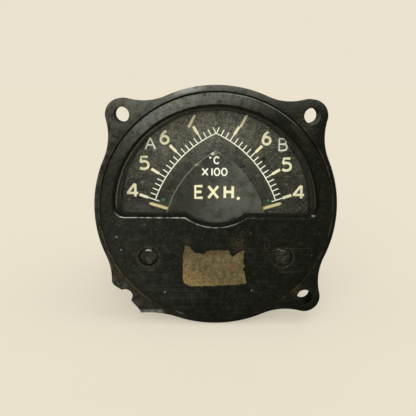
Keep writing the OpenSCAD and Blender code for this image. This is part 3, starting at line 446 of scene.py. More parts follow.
def flange_marks(f, colour, patchy, grain):
    """Brown by the broken ear and a painted reflection of the pale floor on the edge under it, olive
    dirt by two ears, a worn and greasy left rim, a painted sheen at the top left, and dust on the
    walls of two holes. Without a colour it gives where dust and painted sheen can lie."""
    if not colour:
        return 1 - patchy.rise(0.6, 0.75) * 0.3
    rust = f.spot(-33.0, -22.4, patchy * 6, 6.0, 3.4)
    colour = f.blend(rust * grain.rise(0.35, 0.6) * 0.6, colour, (0.046, 0.032, 0.014))
    olive = f.spot(28.6, 27.6, patchy * 8, 10.5, 4.6)
    colour = f.blend(olive * grain.rise(0.35, 0.6) * 0.6, colour, (0.050, 0.046, 0.028))
    worn = f.ring(0, 0).rise(40.6, 41.0) * f.x.rise(-20, -34) * patchy.rise(0.42, 0.6)
    colour = f.blend(worn * 0.35, colour, (0.085, 0.082, 0.065))
    # Painted reflection of the pale floor on the rounded edge under the broken ear
    heel_reflection = f.ring(-22.3, -37.3).rise(5.0, 3.0) * f.y.rise(-35.8, -36.8)
    colour = f.blend(heel_reflection * grain.rise(0.3, 0.55) * 0.7, colour, (0.17, 0.175, 0.16))
    sheen = f.ring(0, 0).rise(39.5, 40.2) * f.spot(-9.5, 39.6, patchy * 5, 9.5, 4.5)
    colour = f.blend(sheen * patchy.rise(0.34, 0.5) * 0.75, colour, (0.27, 0.275, 0.265))
    greased = f.ring(0, 0).rise(40.2, 40.9) * f.x.near(-40, 9, 3) * f.y.near(10, 14, 6)
    colour = f.blend(greased * patchy.rise(0.38, 0.56) * 0.3, colour, (0.105, 0.105, 0.092))
    olive = f.spot(28.4, -28.4, patchy * 4, 5.0, 2.6)
    colour = f.blend(olive * grain.rise(0.35, 0.6) * 0.5, colour, (0.048, 0.042, 0.022))
    wall = f.ring(-31.4, 31.4).rise(3.0, 2.6) * f.x.rise(-32, -34)
    colour = f.blend(wall * grain.rise(0.35, 0.6) * 0.5, colour, (0.085, 0.070, 0.040))
    wall = f.ring(31.4, 31.4).rise(2.85, 2.6) * (f.x - f.y).rise(0, 2.5)
    return f.blend(wall * grain.rise(0.3, 0.55) * 0.7, colour, (0.17, 0.18, 0.13))


cover_black = moulding("cover_moulding", 1.0, dirt_ring=39.05, marks=cover_marks, front=2.1,
                       dull=painted_groove_shade)
flange_black = moulding("case_moulding", 0.95, dirt_ring=39.7, marks=flange_marks, high=(24.4, 47.8),
                        lean=0.12, thin=(26, 36), side=0.10)
print("moulding finishes:", cover_black.name, flange_black.name)

# %% [markdown]
# ## Turning a mesh into a piece
# Every new piece goes through one helper: stand the mesh up, join it to the collection,
# smooth it but keep real corners sharp, and tell the frame what it rides on, which solid it
# stands for and which finish it has.

# %% Piece helpers
def as_object(bm, name):
    """Stands a bmesh up in metres and makes it an object of the scene."""
    bmesh.ops.transform(bm, matrix=STAND, verts=bm.verts)
    mesh = bpy.data.meshes.new(name)
    bm.to_mesh(mesh)
    bm.free()
    piece = bpy.data.objects.new(name, mesh)
    scene.collection.objects.link(piece)
    return piece


def verts_of(made):
    """The vertices among the things that an operator has made."""
    return [g for g in made if isinstance(g, bmesh.types.BMVert)]


def make_piece(shape, name, material, body="instrument", stands_for=(), corner=32):
    """Finishes a piece. The shape is a bmesh in the dial's millimetres or a ready object."""
    piece = shape if isinstance(shape, bpy.types.Object) else as_object(shape, name)
    mesh = piece.data
    mesh.materials.clear()
    mesh.materials.append(material)
    mesh.shade_smooth()
    mesh.set_sharp_from_angle(angle=math.radians(corner))
    if stands_for:
        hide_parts(*stands_for)
    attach(piece, body)
    print(name, len(mesh.polygons), "faces, on", body)


def cut_away(piece, cutters, how="DIFFERENCE"):
    """Cuts the piece with each cutter and keeps the result as its mesh. The solver
    needs all of them to be closed."""
    for cutter in cutters:
        cut = piece.modifiers.new("cut", "BOOLEAN")
        cut.operation = how
        cut.solver = "MANIFOLD"
        cut.object = cutter
    bpy.context.view_layer.update()
    ready = piece.evaluated_get(bpy.context.evaluated_depsgraph_get())
    mesh = bpy.data.meshes.new_from_object(ready)
    piece.modifiers.clear()
    piece.data = mesh
    for cutter in cutters:
        bpy.data.objects.remove(cutter)
    return piece


def lathe(profile, steps, at=(0, 0)):
    """Spins a list of (radius, z) about a line through at."""
    bm = bmesh.new()
    line = [bm.verts.new((at[0] + r, at[1], z)) for r, z in profile]
    edges = [bm.edges.new(pair) for pair in zip(line, line[1:])]
    bmesh.ops.spin(bm, geom=line + edges, cent=(*at, 0), axis=(0, 0, 1), dvec=(0, 0, 0),
                   angle=math.tau, steps=steps, use_merge=True, use_duplicate=False)
    bmesh.ops.remove_doubles(bm, verts=bm.verts, dist=1e-5)
    bmesh.ops.recalc_face_normals(bm, faces=bm.faces)
    return bm


print("piece helpers ready")

# %% [markdown]
# ## The front cover
# The cover is one moulded disc with a rounded shoulder and a half-moon window whose lip
# rolls softly inwards. No operator knows that outline, so a circle of vertices is pushed
# out along its rays until it meets the outline grown by some amount. A stack of such
# loops, each at its own depth, is extruded one from the last: the rays never cross, so the
# faces are clean quads even round the lobe, where a bevel would fold over itself. The
# recesses of the two zero screws are cut with a bell-shaped cutter, so their rims are round.

# %% Outline of the half-moon window
# The rays start at this height, from where they reach all of the window, and are this many
RAYS_Y, RAYS = 12, 440
WINDOW_R, LOW_Y, CORNER_R, LOBE_W, LOBE_DROP = 34.2, -2.0, 3.4, 20.4, 3.4
LOBE_R = ((LOBE_W / 2) ** 2 + LOBE_DROP ** 2) / (2 * LOBE_DROP)
LOBE_Y = LOW_Y - LOBE_DROP + LOBE_R
CORNER_X = math.sqrt((WINDOW_R - CORNER_R) ** 2 - (LOW_Y + CORNER_R) ** 2)


def in_window(x, y, grow):
    """Whether a point is inside the window's outline grown by some millimetres."""
    x = abs(x)
    if math.hypot(x, y - LOBE_Y) <= LOBE_R + grow:
        return True
    if math.hypot(x, y) > WINDOW_R + grow or y < LOW_Y - grow:
        return False
    dx, dy = x - CORNER_X, y - LOW_Y - CORNER_R
    in_corner = dy < 0 < dx or (dx > 0 and CORNER_X * dy < (LOW_Y + CORNER_R) * dx)
    return not in_corner or math.hypot(dx, dy) <= CORNER_R + grow


def reach_of(inside, cy, angle, far=60):
    """How far a ray from (0, cy) stays inside a shape, found by halving."""
    low, high = 0, far
    while high - low > 1e-4:
        middle = (low + high) / 2
        if inside(middle * math.cos(angle), cy + middle * math.sin(angle)):
            low = middle
        else:
            high = middle
    return low


def newly_grown(made):
    """The vertices and the outer edges that an extrusion has just made."""
    verts = set(verts_of(made["geom"]))
    edges = [g for g in made["geom"] if isinstance(g, bmesh.types.BMEdge) and set(g.verts) <= verts]
    return list(verts), edges


def nested_loops(loops, cy, count):
    """Extrudes a loop through a list of (test, z), pushed out from (0, cy) to each outline, and
    closes it."""
    bm = bmesh.new()
    bmesh.ops.create_circle(bm, segments=count, radius=1, cap_ends=False,
                            matrix=Matrix.Translation((0, cy, 0)))
    verts, edges = bm.verts[:], bm.edges[:]
    for step, (inside, z) in enumerate(loops + loops[:1]):
        if step:
            verts, edges = newly_grown(bmesh.ops.extrude_edge_only(bm, edges=edges))
        for v in verts:
            angle = math.atan2(v.co.y - cy, v.co.x)
            far = reach_of(inside, cy, angle)
            v.co = (far * math.cos(angle), cy + far * math.sin(angle), z)
    bmesh.ops.remove_doubles(bm, verts=bm.verts, dist=0.001)
    bmesh.ops.recalc_face_normals(bm, faces=bm.faces)
    return bm


def rolled(radius, front, steps=6):
    """(grow, z) pairs of a quarter round that starts radius below front and ends on it."""
    turns = [math.radians(90 * i / steps) for i in range(steps + 1)]
    return [(radius * (1 - math.cos(a)), front - radius * (1 - math.sin(a))) for a in turns]


print("lobe radius", round(LOBE_R, 2), "corner centres at x", round(CORNER_X, 2))

# %% Front cover
COVER_R, COVER_FRONT, COVER_BACK, LIP_ROLL, SHOULDER_ROLL = 39.2, 2.1, -0.9, 1.4, 2.0
RECESS_R = 3.05


def bell_cutter(x, y, radius, flare, front, back):
    """A round cutter that opens like a bell, so the hole that it leaves has a soft rim."""
    curve = [(radius + grow, z + 0.03) for grow, z in rolled(flare, front, 5)]
    ends = [(radius + flare, front + 2), (0, front + 2)]
    return as_object(lathe([(0, back), (radius, back)] + curve + ends, 64, at=(x, y)), "bell")


def cover_blank():
    """The cover with its window, before the recesses are cut."""
    window = [(lambda x, y, g=grow: in_window(x, y, g), z) for grow, z in rolled(LIP_ROLL, COVER_FRONT)]
    rim = [(lambda x, y, g=grow: math.hypot(x, y) <= COVER_R - g, z)
           for grow, z in rolled(SHOULDER_ROLL, COVER_FRONT)]
    back = [(rim[0][0], COVER_BACK), (window[0][0], COVER_BACK)]
    return as_object(nested_loops(window + rim[::-1] + back, RAYS_Y, RAYS), "cover_face")


cover = cut_away(cover_blank(), [bell_cutter(s * ZERO_X, ZERO_Y, RECESS_R, 0.75, COVER_FRONT, COVER_FRONT - 5)
                                 for s in (-1, 1)])
make_piece(cover, "cover_face", cover_black, stands_for=["front_cover"])

# %% [markdown]
# ## Dirt and painted light in the corner of the window
# Where the glass meets the cover a cloth never reaches, so a line of dirt has set in
# that corner. It is painted pale on the left as a highlight and near black along the bottom as
# shade. It is a bead of a few tenths of a millimetre that follows the same outline:
# four loops and their closing faces are enough.

# %% Dirt line
def dirt_and_light_finish():
    f = Finish("window_dirt")
    grain = f.clouds(1.6, 4, 0.7)
    # Paler to the left: a painted highlight
    colour = f.blend((0 - f.x).rise(4, 24), (0.040, 0.036, 0.025), (0.125, 0.120, 0.098))
    # Near black along the bottom: painted shade
    colour = f.blend(f.y.rise(1.5, -1.0), colour, (0.012, 0.011, 0.008))
    colour = f.blend(grain.rise(0.5, 0.36) * 0.7, colour, (0.020, 0.018, 0.012))
    return f.done(f.surface(colour, 0.9, normal=f.bump(grain, 0.05, 0.5), Specular_IOR_Level=0.1))


def dirt_bead(wide=0.42, tall=0.14):
    """A low bead on the glass, along the window's outline."""
    z = depth_of("window_glass")
    section = [(0.0, z), (0.0, z + tall), (-0.6 * wide, z + 0.6 * tall), (-wide, z)]
    loops = [(lambda x, y, g=grow: in_window(x, y, g), level) for grow, level in section]
    return nested_loops(loops, RAYS_Y, RAYS)


make_piece(dirt_bead(), "window_dirt", dirt_and_light_finish())

# %% [markdown]
# ## The flange and its broken ear
# Four ears are blended into a round flange with hollow fillets. The same nested loops draw
# it, because it can be seen whole from its centre. The lower left ear broke off through
# its hole. A break in brittle moulding is not a clean cut: it is bitten out here with a
# block whose face is jogged by noise, layer by layer. The noise is given a seed first,
# because Blender otherwise takes one from the clock and every run breaks the ear anew. The
# seed isn't a typical draw: of 240 it gives the edge that lies closest to the photograph's.
# Behind the cover the bore is stepped: a ledge for the seal, a narrower bore for the case,
# and four screw holes from behind. All the cuts are made by the manifold solver. It needs
# closed meshes.

# %% Flange
EAR_AT, EAR_R, FLANGE_R, HOLE_R = 44.452, 5.4, 41.275, 2.6
RECESS_WALL_R, LEDGE_Z, SPIGOT_BORE_R, CEMENT_STEP_R, CEMENT_STEP_Z = 39.4, -3.6, 34.43, 36.2, -6.9
SCREW_XY, SCREW_HOLE_R, SCREW_HEAD_R, SCREW_HEAD_Z = 37.5 / math.sqrt(2), 1.05, 1.8, -5.6
HOLE_XY = EAR_AT / math.sqrt(2)
FLANGE_RAYS, BREAK_SEED, BREAK_LAYER_T = 880, 193, 1.05


def fillet(round_r, fillet_r):
    """Centre, radius and turn from the ear's axis of a fillet that touches the flange's circle
    and a circle about the ear's hole."""
    far = FLANGE_R + fillet_r
    turn = math.acos((far ** 2 + EAR_AT ** 2 - (round_r + fillet_r) ** 2) / (2 * far * EAR_AT))
    return far * math.cos(turn), far * math.sin(turn), fillet_r, turn


EVERY_FILLET, FULLER_FILLET = fillet(EAR_R, 20.0), fillet(6.9, 32.0)


def in_flange(x, y, grow):
    r = math.hypot(x, y)
    if r <= FLANGE_R + grow:
        return True
    below_broken_ear = x < 0 and y < x
    cx, cy, radius, widest = FULLER_FILLET if below_broken_ear else EVERY_FILLET
    turn = abs((math.atan2(y, x) % (math.pi / 2)) - math.pi / 4)
    x, y = r * math.cos(turn), r * math.sin(turn)
    if math.hypot(x - EAR_AT, y) <= EAR_R + grow:
        return True
    under = (x - EAR_AT) * cy - y * (cx - EAR_AT) < 0
    return turn <= widest and under and math.hypot(x - cx, y - cy) >= radius - grow


BREAK = [(-36.6, -25.8), (-35.8, -26.2), (-35.1, -27.2), (-34.0, -28.0), (-32.6, -28.9), (-31.4, -31.4),
         (-29.4, -33.0), (-28.2, -34.1), (-27.1, -35.5), (-26.1, -37.1), (-25.6, -38.0)]
AWAY = [(-25.4, -60), (-60, -60), (-60, -25.6)]


def break_block(layers=9):
    """A block outside the broken ear's edge, with a ragged face."""
    noise.seed_set(BREAK_SEED)
    line = [Vector(a).lerp(Vector(b), i / 4) for a, b in zip(BREAK, BREAK[1:]) for i in range(4)]
    bm = bmesh.new()
    ring = [bm.verts.new((*p, 1)) for p in line + [Vector(BREAK[-1])] + [Vector(p) for p in AWAY]]
    bm.faces.new(ring)
    edges = bm.edges[:]
    for _ in range(layers):
        ends, edges = newly_grown(bmesh.ops.extrude_edge_only(bm, edges=edges))
        bmesh.ops.translate(bm, vec=(0, 0, -BREAK_LAYER_T), verts=ends)
    bmesh.ops.holes_fill(bm, edges=edges, sides=0)
    for v in bm.verts:
        if v.co.x > -45 and v.co.y > -45:
            push = noise.noise_vector(v.co * 0.9) * 0.22 + noise.noise_vector(v.co * 2.7) * 0.12
            v.co.xy += push.xy
    bmesh.ops.recalc_face_normals(bm, faces=bm.faces)
    return as_object(bm, "break_block")


def flange_blank(edge=0.55):
    """The whole flange with its stepped bore, before anything is cut out."""
    grown = rolled(edge, 0, 3)
    rim = [(lambda x, y, g=grow: in_flange(x, y, -g), z) for grow, z in grown]
    under = [(test, -FLANGE_T - z) for test, z in rim]
    steps = [(CEMENT_STEP_R, -FLANGE_T), (CEMENT_STEP_R, CEMENT_STEP_Z), (SPIGOT_BORE_R, CEMENT_STEP_Z),
             (SPIGOT_BORE_R, LEDGE_Z), (RECESS_WALL_R, LEDGE_Z), (RECESS_WALL_R, 0)]
    bore = [(lambda x, y, r=radius: math.hypot(x, y) <= r, z) for radius, z in steps]
    return as_object(nested_loops(rim[::-1] + under + bore, 0, FLANGE_RAYS), "flange_ring")


def screw_cutter(x, y):
    """Cuts a clearance hole, and a wider one from behind for the screw's head."""
    back = -FLANGE_T - 1
    outline = [(0, -1), (SCREW_HOLE_R, -1), (SCREW_HOLE_R, SCREW_HEAD_Z), (SCREW_HEAD_R, SCREW_HEAD_Z),
               (SCREW_HEAD_R, back), (0, back)]
    return as_object(lathe(outline, 48, at=(x, y)), "screw_hole")


CORNERS = [(x, y) for x in (-1, 1) for y in (-1, 1)]
flange, cutters = flange_blank(), [break_block()]
cutters += [bell_cutter(x * HOLE_XY, y * HOLE_XY, HOLE_R, 0.25, 0, -FLANGE_T - 1) for x, y in CORNERS]
cutters += [screw_cutter(x * SCREW_XY, y * SCREW_XY) for x, y in CORNERS]
cut_away(flange, cutters)
make_piece(flange, "flange_ring", flange_black, stands_for=["flange"])

# %% [markdown]
# ## Softened solids
# Many solids already have the right form and only look too crisp. A copy of such a solid is
# merged, its flat triangles are joined back into whole faces, and a bevel rounds its sharp
# edges a little. The copy then stands for the solid.

# %% Softened copies
def softened(node, width, segments=2, corner=40):
    """A copy of a solid whose sharp edges are rounded over a width in millimetres."""
    bm = bmesh.new()
    bm.from_mesh(nodes[node].data)
    bmesh.ops.remove_doubles(bm, verts=bm.verts, dist=2e-6)
    bmesh.ops.dissolve_limit(bm, angle_limit=math.radians(0.8), verts=bm.verts, edges=bm.edges)
    bm.normal_update()
    mesh = bpy.data.meshes.new(node + "_soft")
    bm.to_mesh(mesh)
    bm.free()
    piece = bpy.data.objects.new(node + "_soft", mesh)
    scene.collection.objects.link(piece)
    edge = piece.modifiers.new("edge", "BEVEL")
    edge.width = width / 1000
    edge.segments = segments
    edge.limit_method = "ANGLE"
    edge.angle_limit = math.radians(corner)
    edge.use_clamp_overlap = True
    return piece


def soft_piece(node, material, width, body="instrument"):
    """Lets a softened copy stand for its solid."""
    piece = softened(node, width)
    make_piece(piece, piece.name, material, body, stands_for=[node], corner=38)


print("copies can be softened")

# %% [markdown]
# ## The round case behind the flange
# Behind the flange the same black moulding goes on as a plain round cup with a chamfered
# rear edge. It was handled less, so it has less dust and painted sheen, and its edges are only eased.

# %% Case
case_black = moulding("case_body_black", 0.3, gloss=0.2, front=90)
soft_piece("case", case_black, 0.35)

# %% [markdown]
# ## Dial black and arch plate black
# The dial is matt black paint gone olive grey: very fine speckle, long fine scratches and
# dust that is thicker towards the top. The arch plate in front of it is smoother, and its
# edge carries a painted highlight, mostly on the left, with two chips at the tip. The edge is
# found from the distance to the two arcs that form the plate.

# %% Dial and arch finishes
PIVOT_X, PIVOT_Y, ARCH_R, SCALE_R = 16.6, -11.2, 34.8, 39.8


def dial_finish():
    f = Finish("dial_black")
    speckle = f.clouds(1.5, 3, 0.7)
    fine = f.clouds(2.8, 2, 0.6)
    patch = f.clouds(0.24, 5, 0.65)
    top = (f.y - f.x * 0.15).rise(8, 32)
    mottle = speckle * 0.35 + fine * 0.65
    colour = f.blend(patch.rise(0.38, 0.62), (0.0050, 0.0054, 0.0034), (0.0175, 0.0180, 0.0125))
    colour = f.blend(top * (0.35 + patch.rise(0.4, 0.6) * 0.65), colour, (0.124, 0.121, 0.103))
    colour = f.blend(mottle.rise(0.49, 0.60) * (0.16 + top * 0.42), colour, (0.27, 0.265, 0.23))
    colour = f.blend(mottle.rise(0.48, 0.38) * 0.6, colour, (0.006, 0.006, 0.0045))
    lines = f.clouds(1.0, 2, 0.5, at=f.stretched(0.7, 1, 1.9), twist=1.6)
    colour = f.blend(lines.rise(0.62, 0.67) * patch.rise(0.42, 0.58) * 0.6, colour, (0.26, 0.255, 0.21))
    streak = f.clouds(1.0, 2, 0.5, at=f.stretched(0.5, 1, 2.4, 7), twist=0.8)
    colour = f.blend(streak.rise(0.63, 0.68) * f.y.rise(2, 20) * 0.5, colour, (0.30, 0.295, 0.245))
    colour = f.blend(f.specks(0.7, 0.17, 0.2) * 0.7, colour, (0.42, 0.41, 0.33))
    colour = f.blend(f.specks(1.5, 0.24, 0.16) * 0.45, colour, (0.42, 0.41, 0.33))
    film = f.y.rise(1.5, -1.0) * (0 - f.x).rise(14, 20) * patch.rise(0.3, 0.55)
    colour = f.blend(film * 0.5, colour, (0.075, 0.078, 0.066))
    brown = f.spot(15.2, 17.7, speckle, 2.6, 1.2)
    colour = f.blend(brown * 0.75, colour, (0.090, 0.078, 0.040))
    colour = f.blend(f.ring(16.6, 16.2).rise(1.1, 0.6), colour, (0.004, 0.004, 0.003))
    rust = f.ring(0, 0).rise(31.0, 33.0) * f.x.rise(22, 31) * patch.rise(0.4, 0.6)
    colour = f.blend(rust * 0.5, colour, (0.070, 0.040, 0.022))
    return f.done(f.surface(colour, 0.7, normal=f.bump(speckle, 0.03, 0.2), Specular_IOR_Level=0.12))


def arch_finish():
    f = Finish("arch_black")
    speckle = f.clouds(1.4, 3, 0.7)
    fine = f.clouds(3.6, 2, 0.6)
    patch = f.clouds(0.3, 4, 0.6)
    mottle = speckle * 0.6 + fine * 0.4
    colour = f.blend(patch.rise(0.38, 0.62), (0.0085, 0.0096, 0.0076), (0.021, 0.0228, 0.019))
    haze = (f.x - f.y * 0.45).rise(-11, 5) * 0.75
    colour = f.blend(mottle.rise(0.49, 0.60) * (0.14 + haze * 0.25), colour, (0.19, 0.195, 0.17))
    colour = f.blend(mottle.rise(0.48, 0.38) * 0.5, colour, (0.008, 0.0085, 0.007))
    colour = f.blend(haze * patch.rise(0.25, 0.55), colour, (0.100, 0.103, 0.090))
    # Painted highlight along the plate's edge, mostly on the left
    left = f.ring(PIVOT_X, PIVOT_Y).rise(ARCH_R - 0.5, ARCH_R - 0.18)
    right = f.ring(-PIVOT_X, PIVOT_Y).rise(ARCH_R - 0.3, ARCH_R - 0.1)
    lit_edge = left * (0.45 + patch * 0.8) + right * patch.rise(0.45, 0.6) * 0.5
    colour = f.blend(lit_edge * 0.8, colour, (0.24, 0.24, 0.21))
    tip = f.spot(0, 19.0, speckle * 2, 3.4, 1.6) + f.spot(-6.0, 15.0, speckle * 2, 2.4, 1.4)
    colour = f.blend(tip * fine.rise(0.46, 0.56) * 0.6, colour, (0.34, 0.34, 0.30))
    chip = f.ring(-1.2, 18.3).rise(0.75, 0.45) + f.ring(-6.9, 14.6).rise(0.6, 0.35)
    colour = f.blend(chip * 0.9, colour, (0.68, 0.67, 0.6))
    colour = f.blend(f.specks(0.7, 0.13, 0.14) * 0.6, colour, (0.34, 0.33, 0.28))
    return f.done(f.surface(colour, 0.6, normal=f.bump(speckle, 0.03, 0.2), Specular_IOR_Level=0.15))


dial_black, arch_black = dial_finish(), arch_finish()
print("finishes:", dial_black.name, arch_black.name)

# %% [markdown]
# ## Paint on the dial
# The figures and the long bars are a luminous paint that has aged to cream and stands a
# little proud; the scale lines are thin and white. A straight mark is a small grid, an arc
# is an edge spun about the far pivot, and a figure is a few pen strokes: a round-nibbed
# curve, flattened. Everything is drawn flat in the dial's millimetres and then given a
# tenth of a millimetre of thickness or less.

# %% Paint finishes
def paint(name, colour, stain, wear):
    """Aged paint: stained in patches and worn dark in grains."""
    f = Finish(name)
    grain = f.clouds(3.0, 4, 0.7)
    patch = f.clouds(0.8, 3, 0.6)
    mixed = f.blend(patch.rise(0.35, 0.75) * 0.7, colour, stain)
    mixed = f.blend(grain.rise(0.62 - wear * 0.2, 0.75) * wear, mixed, (0.06, 0.055, 0.04))
    return f.done(f.surface(mixed, 0.6, normal=f.bump(grain, 0.05, 0.5), Specular_IOR_Level=0.3))


cream_paint = paint("cream_paint", (0.92, 0.87, 0.66), (0.76, 0.70, 0.49), 0.2)
pale_cream = paint("pale_cream_paint", (0.94, 0.90, 0.68), (0.84, 0.79, 0.56), 0.1)
worn_paint = paint("worn_cream_paint", (0.80, 0.75, 0.57), (0.52, 0.48, 0.36), 0.45)
ghost_paint = paint("ghost_cream_paint", (0.12, 0.115, 0.085), (0.06, 0.06, 0.045), 0.9)
white_paint = paint("white_paint", (0.96, 0.95, 0.87), (0.86, 0.84, 0.74), 0.12)
white_legend = paint("white_legend", (0.96, 0.95, 0.90), (0.90, 0.88, 0.80), 0.08)
green_paint = paint("green_paint", (0.02, 0.16, 0.06), (0.02, 0.09, 0.04), 0.5)
print("seven paints mixed")

# %% Scale lines and bars
# Angle above the horizontal at which each reading lies, and where the arc starts and ends
FIGURE_AT = {4: 18.8, 5: 31.4, 6: 44.5, 7: 57.5, 7.6: 65.2}
ARC_FROM, ARC_TO, ARC_W = 18.4, 65.35, 0.36
LINES, LINE_STEP, LINE_W, LINE_PROUD = 19, 0.2, 0.38, 0.03
FIRST_LINE_R, LONG_R, SHORT_R = 38.4, 43.0, 42.1
BAR_FROM_R, BAR_TO_R, BAR_W, BAR_PROUD = 42.5, 45.6, 0.95, 0.07


def scale_angle(value):
    """Angle of a reading above the horizontal, in degrees."""
    marks = sorted(FIGURE_AT)
    for low, high in zip(marks, marks[1:]):
        if value <= high:
            share = (value - low) / (high - low)
            return FIGURE_AT[low] + share * (FIGURE_AT[high] - FIGURE_AT[low])
    return FIGURE_AT[marks[-1]]


def spoke(bm, side, value, start, end, width):
    """A straight mark at a reading, from radius start to end about the pivot of one scale."""
    along, degrees = (start + end) / 2, scale_angle(value)
    place = (Matrix.Translation((side * -PIVOT_X, PIVOT_Y, Z_DIAL))
             @ Matrix.Rotation(math.radians(degrees if side > 0 else 180 - degrees), 4, "Z")
             @ Matrix.Translation((along, 0, 0)))
    made = bmesh.ops.create_grid(bm, x_segments=3, y_segments=1, size=0.5)["verts"]
    for v in made:
        v.co.x *= end - start
        v.co.y *= width
    bmesh.ops.transform(bm, matrix=place, verts=made)


def scale_arc(bm, side, low, high, radius, width):
    """A thin arc about the pivot of one scale, spun from a short radial edge."""
    first = math.radians(low if side > 0 else 180 - low)
    centre = Vector((side * -PIVOT_X, PIVOT_Y, Z_DIAL))
    ends = [bm.verts.new(centre + Vector((math.cos(first), math.sin(first), 0)) * r)
            for r in (radius - width / 2, radius + width / 2)]
    bmesh.ops.spin(bm, geom=ends + [bm.edges.new(ends)], cent=centre, axis=(0, 0, side), dvec=(0, 0, 0),
                   angle=math.radians(high - low), steps=60, use_merge=False, use_duplicate=False)


def thicken(bm, thickness):
    """Turns all faces to the reader and raises them."""
    bmesh.ops.recalc_face_normals(bm, faces=bm.faces)
    for face in bm.faces:
        if face.normal.z < 0:
            face.normal_flip()
    grown = bmesh.ops.extrude_face_region(bm, geom=bm.faces[:])["geom"]
    bmesh.ops.translate(bm, vec=(0, 0, thickness), verts=verts_of(grown))
    bmesh.ops.recalc_face_normals(bm, faces=bm.faces)
    return bm


def scale_lines():
    bm = bmesh.new()
    for side in (-1, 1):
        scale_arc(bm, side, ARC_FROM, ARC_TO, SCALE_R, ARC_W)
        for step in range(LINES):
            inner = SCALE_R if step else FIRST_LINE_R
            outer = SHORT_R if step % 5 else LONG_R
            spoke(bm, side, 4 + step * LINE_STEP, inner, outer, LINE_W)
    return thicken(bm, LINE_PROUD)


def scale_bars():
    bm = bmesh.new()
    for side in (-1, 1):
        for value in (4, 5, 6, 7):
            spoke(bm, side, value, BAR_FROM_R, BAR_TO_R, BAR_W)
    return thicken(bm, BAR_PROUD)


make_piece(scale_lines(), "scale_lines", white_paint)
make_piece(scale_bars(), "scale_bars", cream_paint)

# %% [markdown]
# ## Figures and letters as pen strokes
# Each figure is drawn in a box one unit high, as strokes of a round pen. A stroke is either
# straight from point to point or a smooth curve through its points. The cut of the
# engraver's letters, such as the straight tail of the 6, follows more closely this way
# than with a ready typeface.

# %% Strokes
STRAIGHT, SMOOTH, RING = "straight", "smooth", "ring"
STROKES = {
    "4": [(STRAIGHT, [(0.66, 0.0), (0.66, 1.0)]), (STRAIGHT, [(0.62, 1.0), (0.06, 0.27)]),
          (STRAIGHT, [(0.0, 0.27), (0.88, 0.27)])],
    "5": [(STRAIGHT, [(0.64, 0.96), (0.16, 0.96), (0.10, 0.54)]),
          (SMOOTH, [(0.10, 0.54), (0.34, 0.62), (0.62, 0.52), (0.70, 0.32), (0.60, 0.11), (0.34, 0.03),
                    (0.04, 0.10)])],
    "6": [(RING, [(0.33, 0.02), (0.62, 0.30), (0.33, 0.58), (0.04, 0.30)]),
          (SMOOTH, [(0.04, 0.30), (0.10, 0.56), (0.24, 0.80), (0.46, 0.98)])],
    "7": [(STRAIGHT, [(0.0, 0.0), (0.52, 1.0)])],
    "-": [(STRAIGHT, [(0.0, 0.0), (0.5, 0.0)])],
    "A": [(STRAIGHT, [(0.0, 0.0), (0.42, 1.0)]), (STRAIGHT, [(0.42, 1.0), (0.84, 0.0)]),
          (STRAIGHT, [(0.16, 0.36), (0.68, 0.36)])],
    "B": [(SMOOTH, [(0.36, 1.0), (0.58, 0.93), (0.64, 0.76), (0.56, 0.60), (0.36, 0.54)]),
          (SMOOTH, [(0.36, 0.54), (0.64, 0.47), (0.71, 0.27), (0.62, 0.07), (0.36, 0.0)]),
          (STRAIGHT, [(0.36, 1.0), (0.04, 1.0), (0.04, 0.0), (0.36, 0.0)]),
          (STRAIGHT, [(0.04, 0.54), (0.36, 0.54)])],
    "C": [(SMOOTH, [(0.74, 0.80), (0.60, 0.97), (0.36, 1.0), (0.10, 0.84), (0.03, 0.5), (0.10, 0.16),
                    (0.36, 0.0), (0.60, 0.03), (0.74, 0.20)])],
    "X": [(STRAIGHT, [(0.0, 0.0), (0.80, 1.0)]), (STRAIGHT, [(0.0, 1.0), (0.80, 0.0)])],
    "1": [(STRAIGHT, [(0.1, 0.0), (0.1, 1.0)])],
    "0": [(RING, [(0.36, 0.0), (0.68, 0.28), (0.68, 0.72), (0.36, 1.0), (0.04, 0.72), (0.04, 0.28)])],
    "E": [(STRAIGHT, [(0.68, 1.0), (0.08, 1.0), (0.08, 0.0), (0.70, 0.0)]),
          (STRAIGHT, [(0.08, 0.51), (0.60, 0.51)])],
    "H": [(STRAIGHT, [(0.06, 0.0), (0.06, 1.0)]), (STRAIGHT, [(0.72, 0.0), (0.72, 1.0)]),
          (STRAIGHT, [(0.06, 0.52), (0.72, 0.52)])],
    ".": [(RING, [(0.0, 0.0), (0.10, 0.10), (0.0, 0.20), (-0.10, 0.10)])],
}


def stroke_mesh(kind, points, pen):
    """A flattened round-nibbed stroke through points, as a mesh."""
    curve = bpy.data.curves.new("stroke", "CURVE")
    curve.dimensions = "3D"
    curve.bevel_depth = pen / 2
    curve.bevel_resolution = 2
    curve.resolution_u = 8
    curve.use_fill_caps = True
    if kind == STRAIGHT:
        line = curve.splines.new("POLY")
        line.points.add(len(points) - 1)
        for at, (x, y) in zip(line.points, points):
            at.co = (x, y, 0, 1)
    else:
        line = curve.splines.new("BEZIER")
        line.bezier_points.add(len(points) - 1)
        for at, (x, y) in zip(line.bezier_points, points):
            at.co = (x, y, 0)
            at.handle_left_type = at.handle_right_type = "AUTO"
        line.use_cyclic_u = kind == RING
    holder = bpy.data.objects.new("stroke", curve)
    mesh = bpy.data.meshes.new_from_object(holder)
    bpy.data.objects.remove(holder)
    bpy.data.curves.remove(curve)
    return mesh


def write(bm, signs, z, height, pen, proud):
    """Adds strokes for (sign, x, y) to bm; x and y are the sign's lower left corner."""
    for sign, x, y in signs:
        for kind, points in STROKES[sign]:
            mesh = stroke_mesh(kind, [(px * height, py * height) for px, py in points], pen)
            mesh.transform(Matrix.Translation((x, y, z)) @ Matrix.Diagonal((1, 1, 2 * proud / pen, 1)))
            bm.from_mesh(mesh)
            bpy.data.meshes.remove(mesh)


print(len(STROKES), "signs can be drawn")

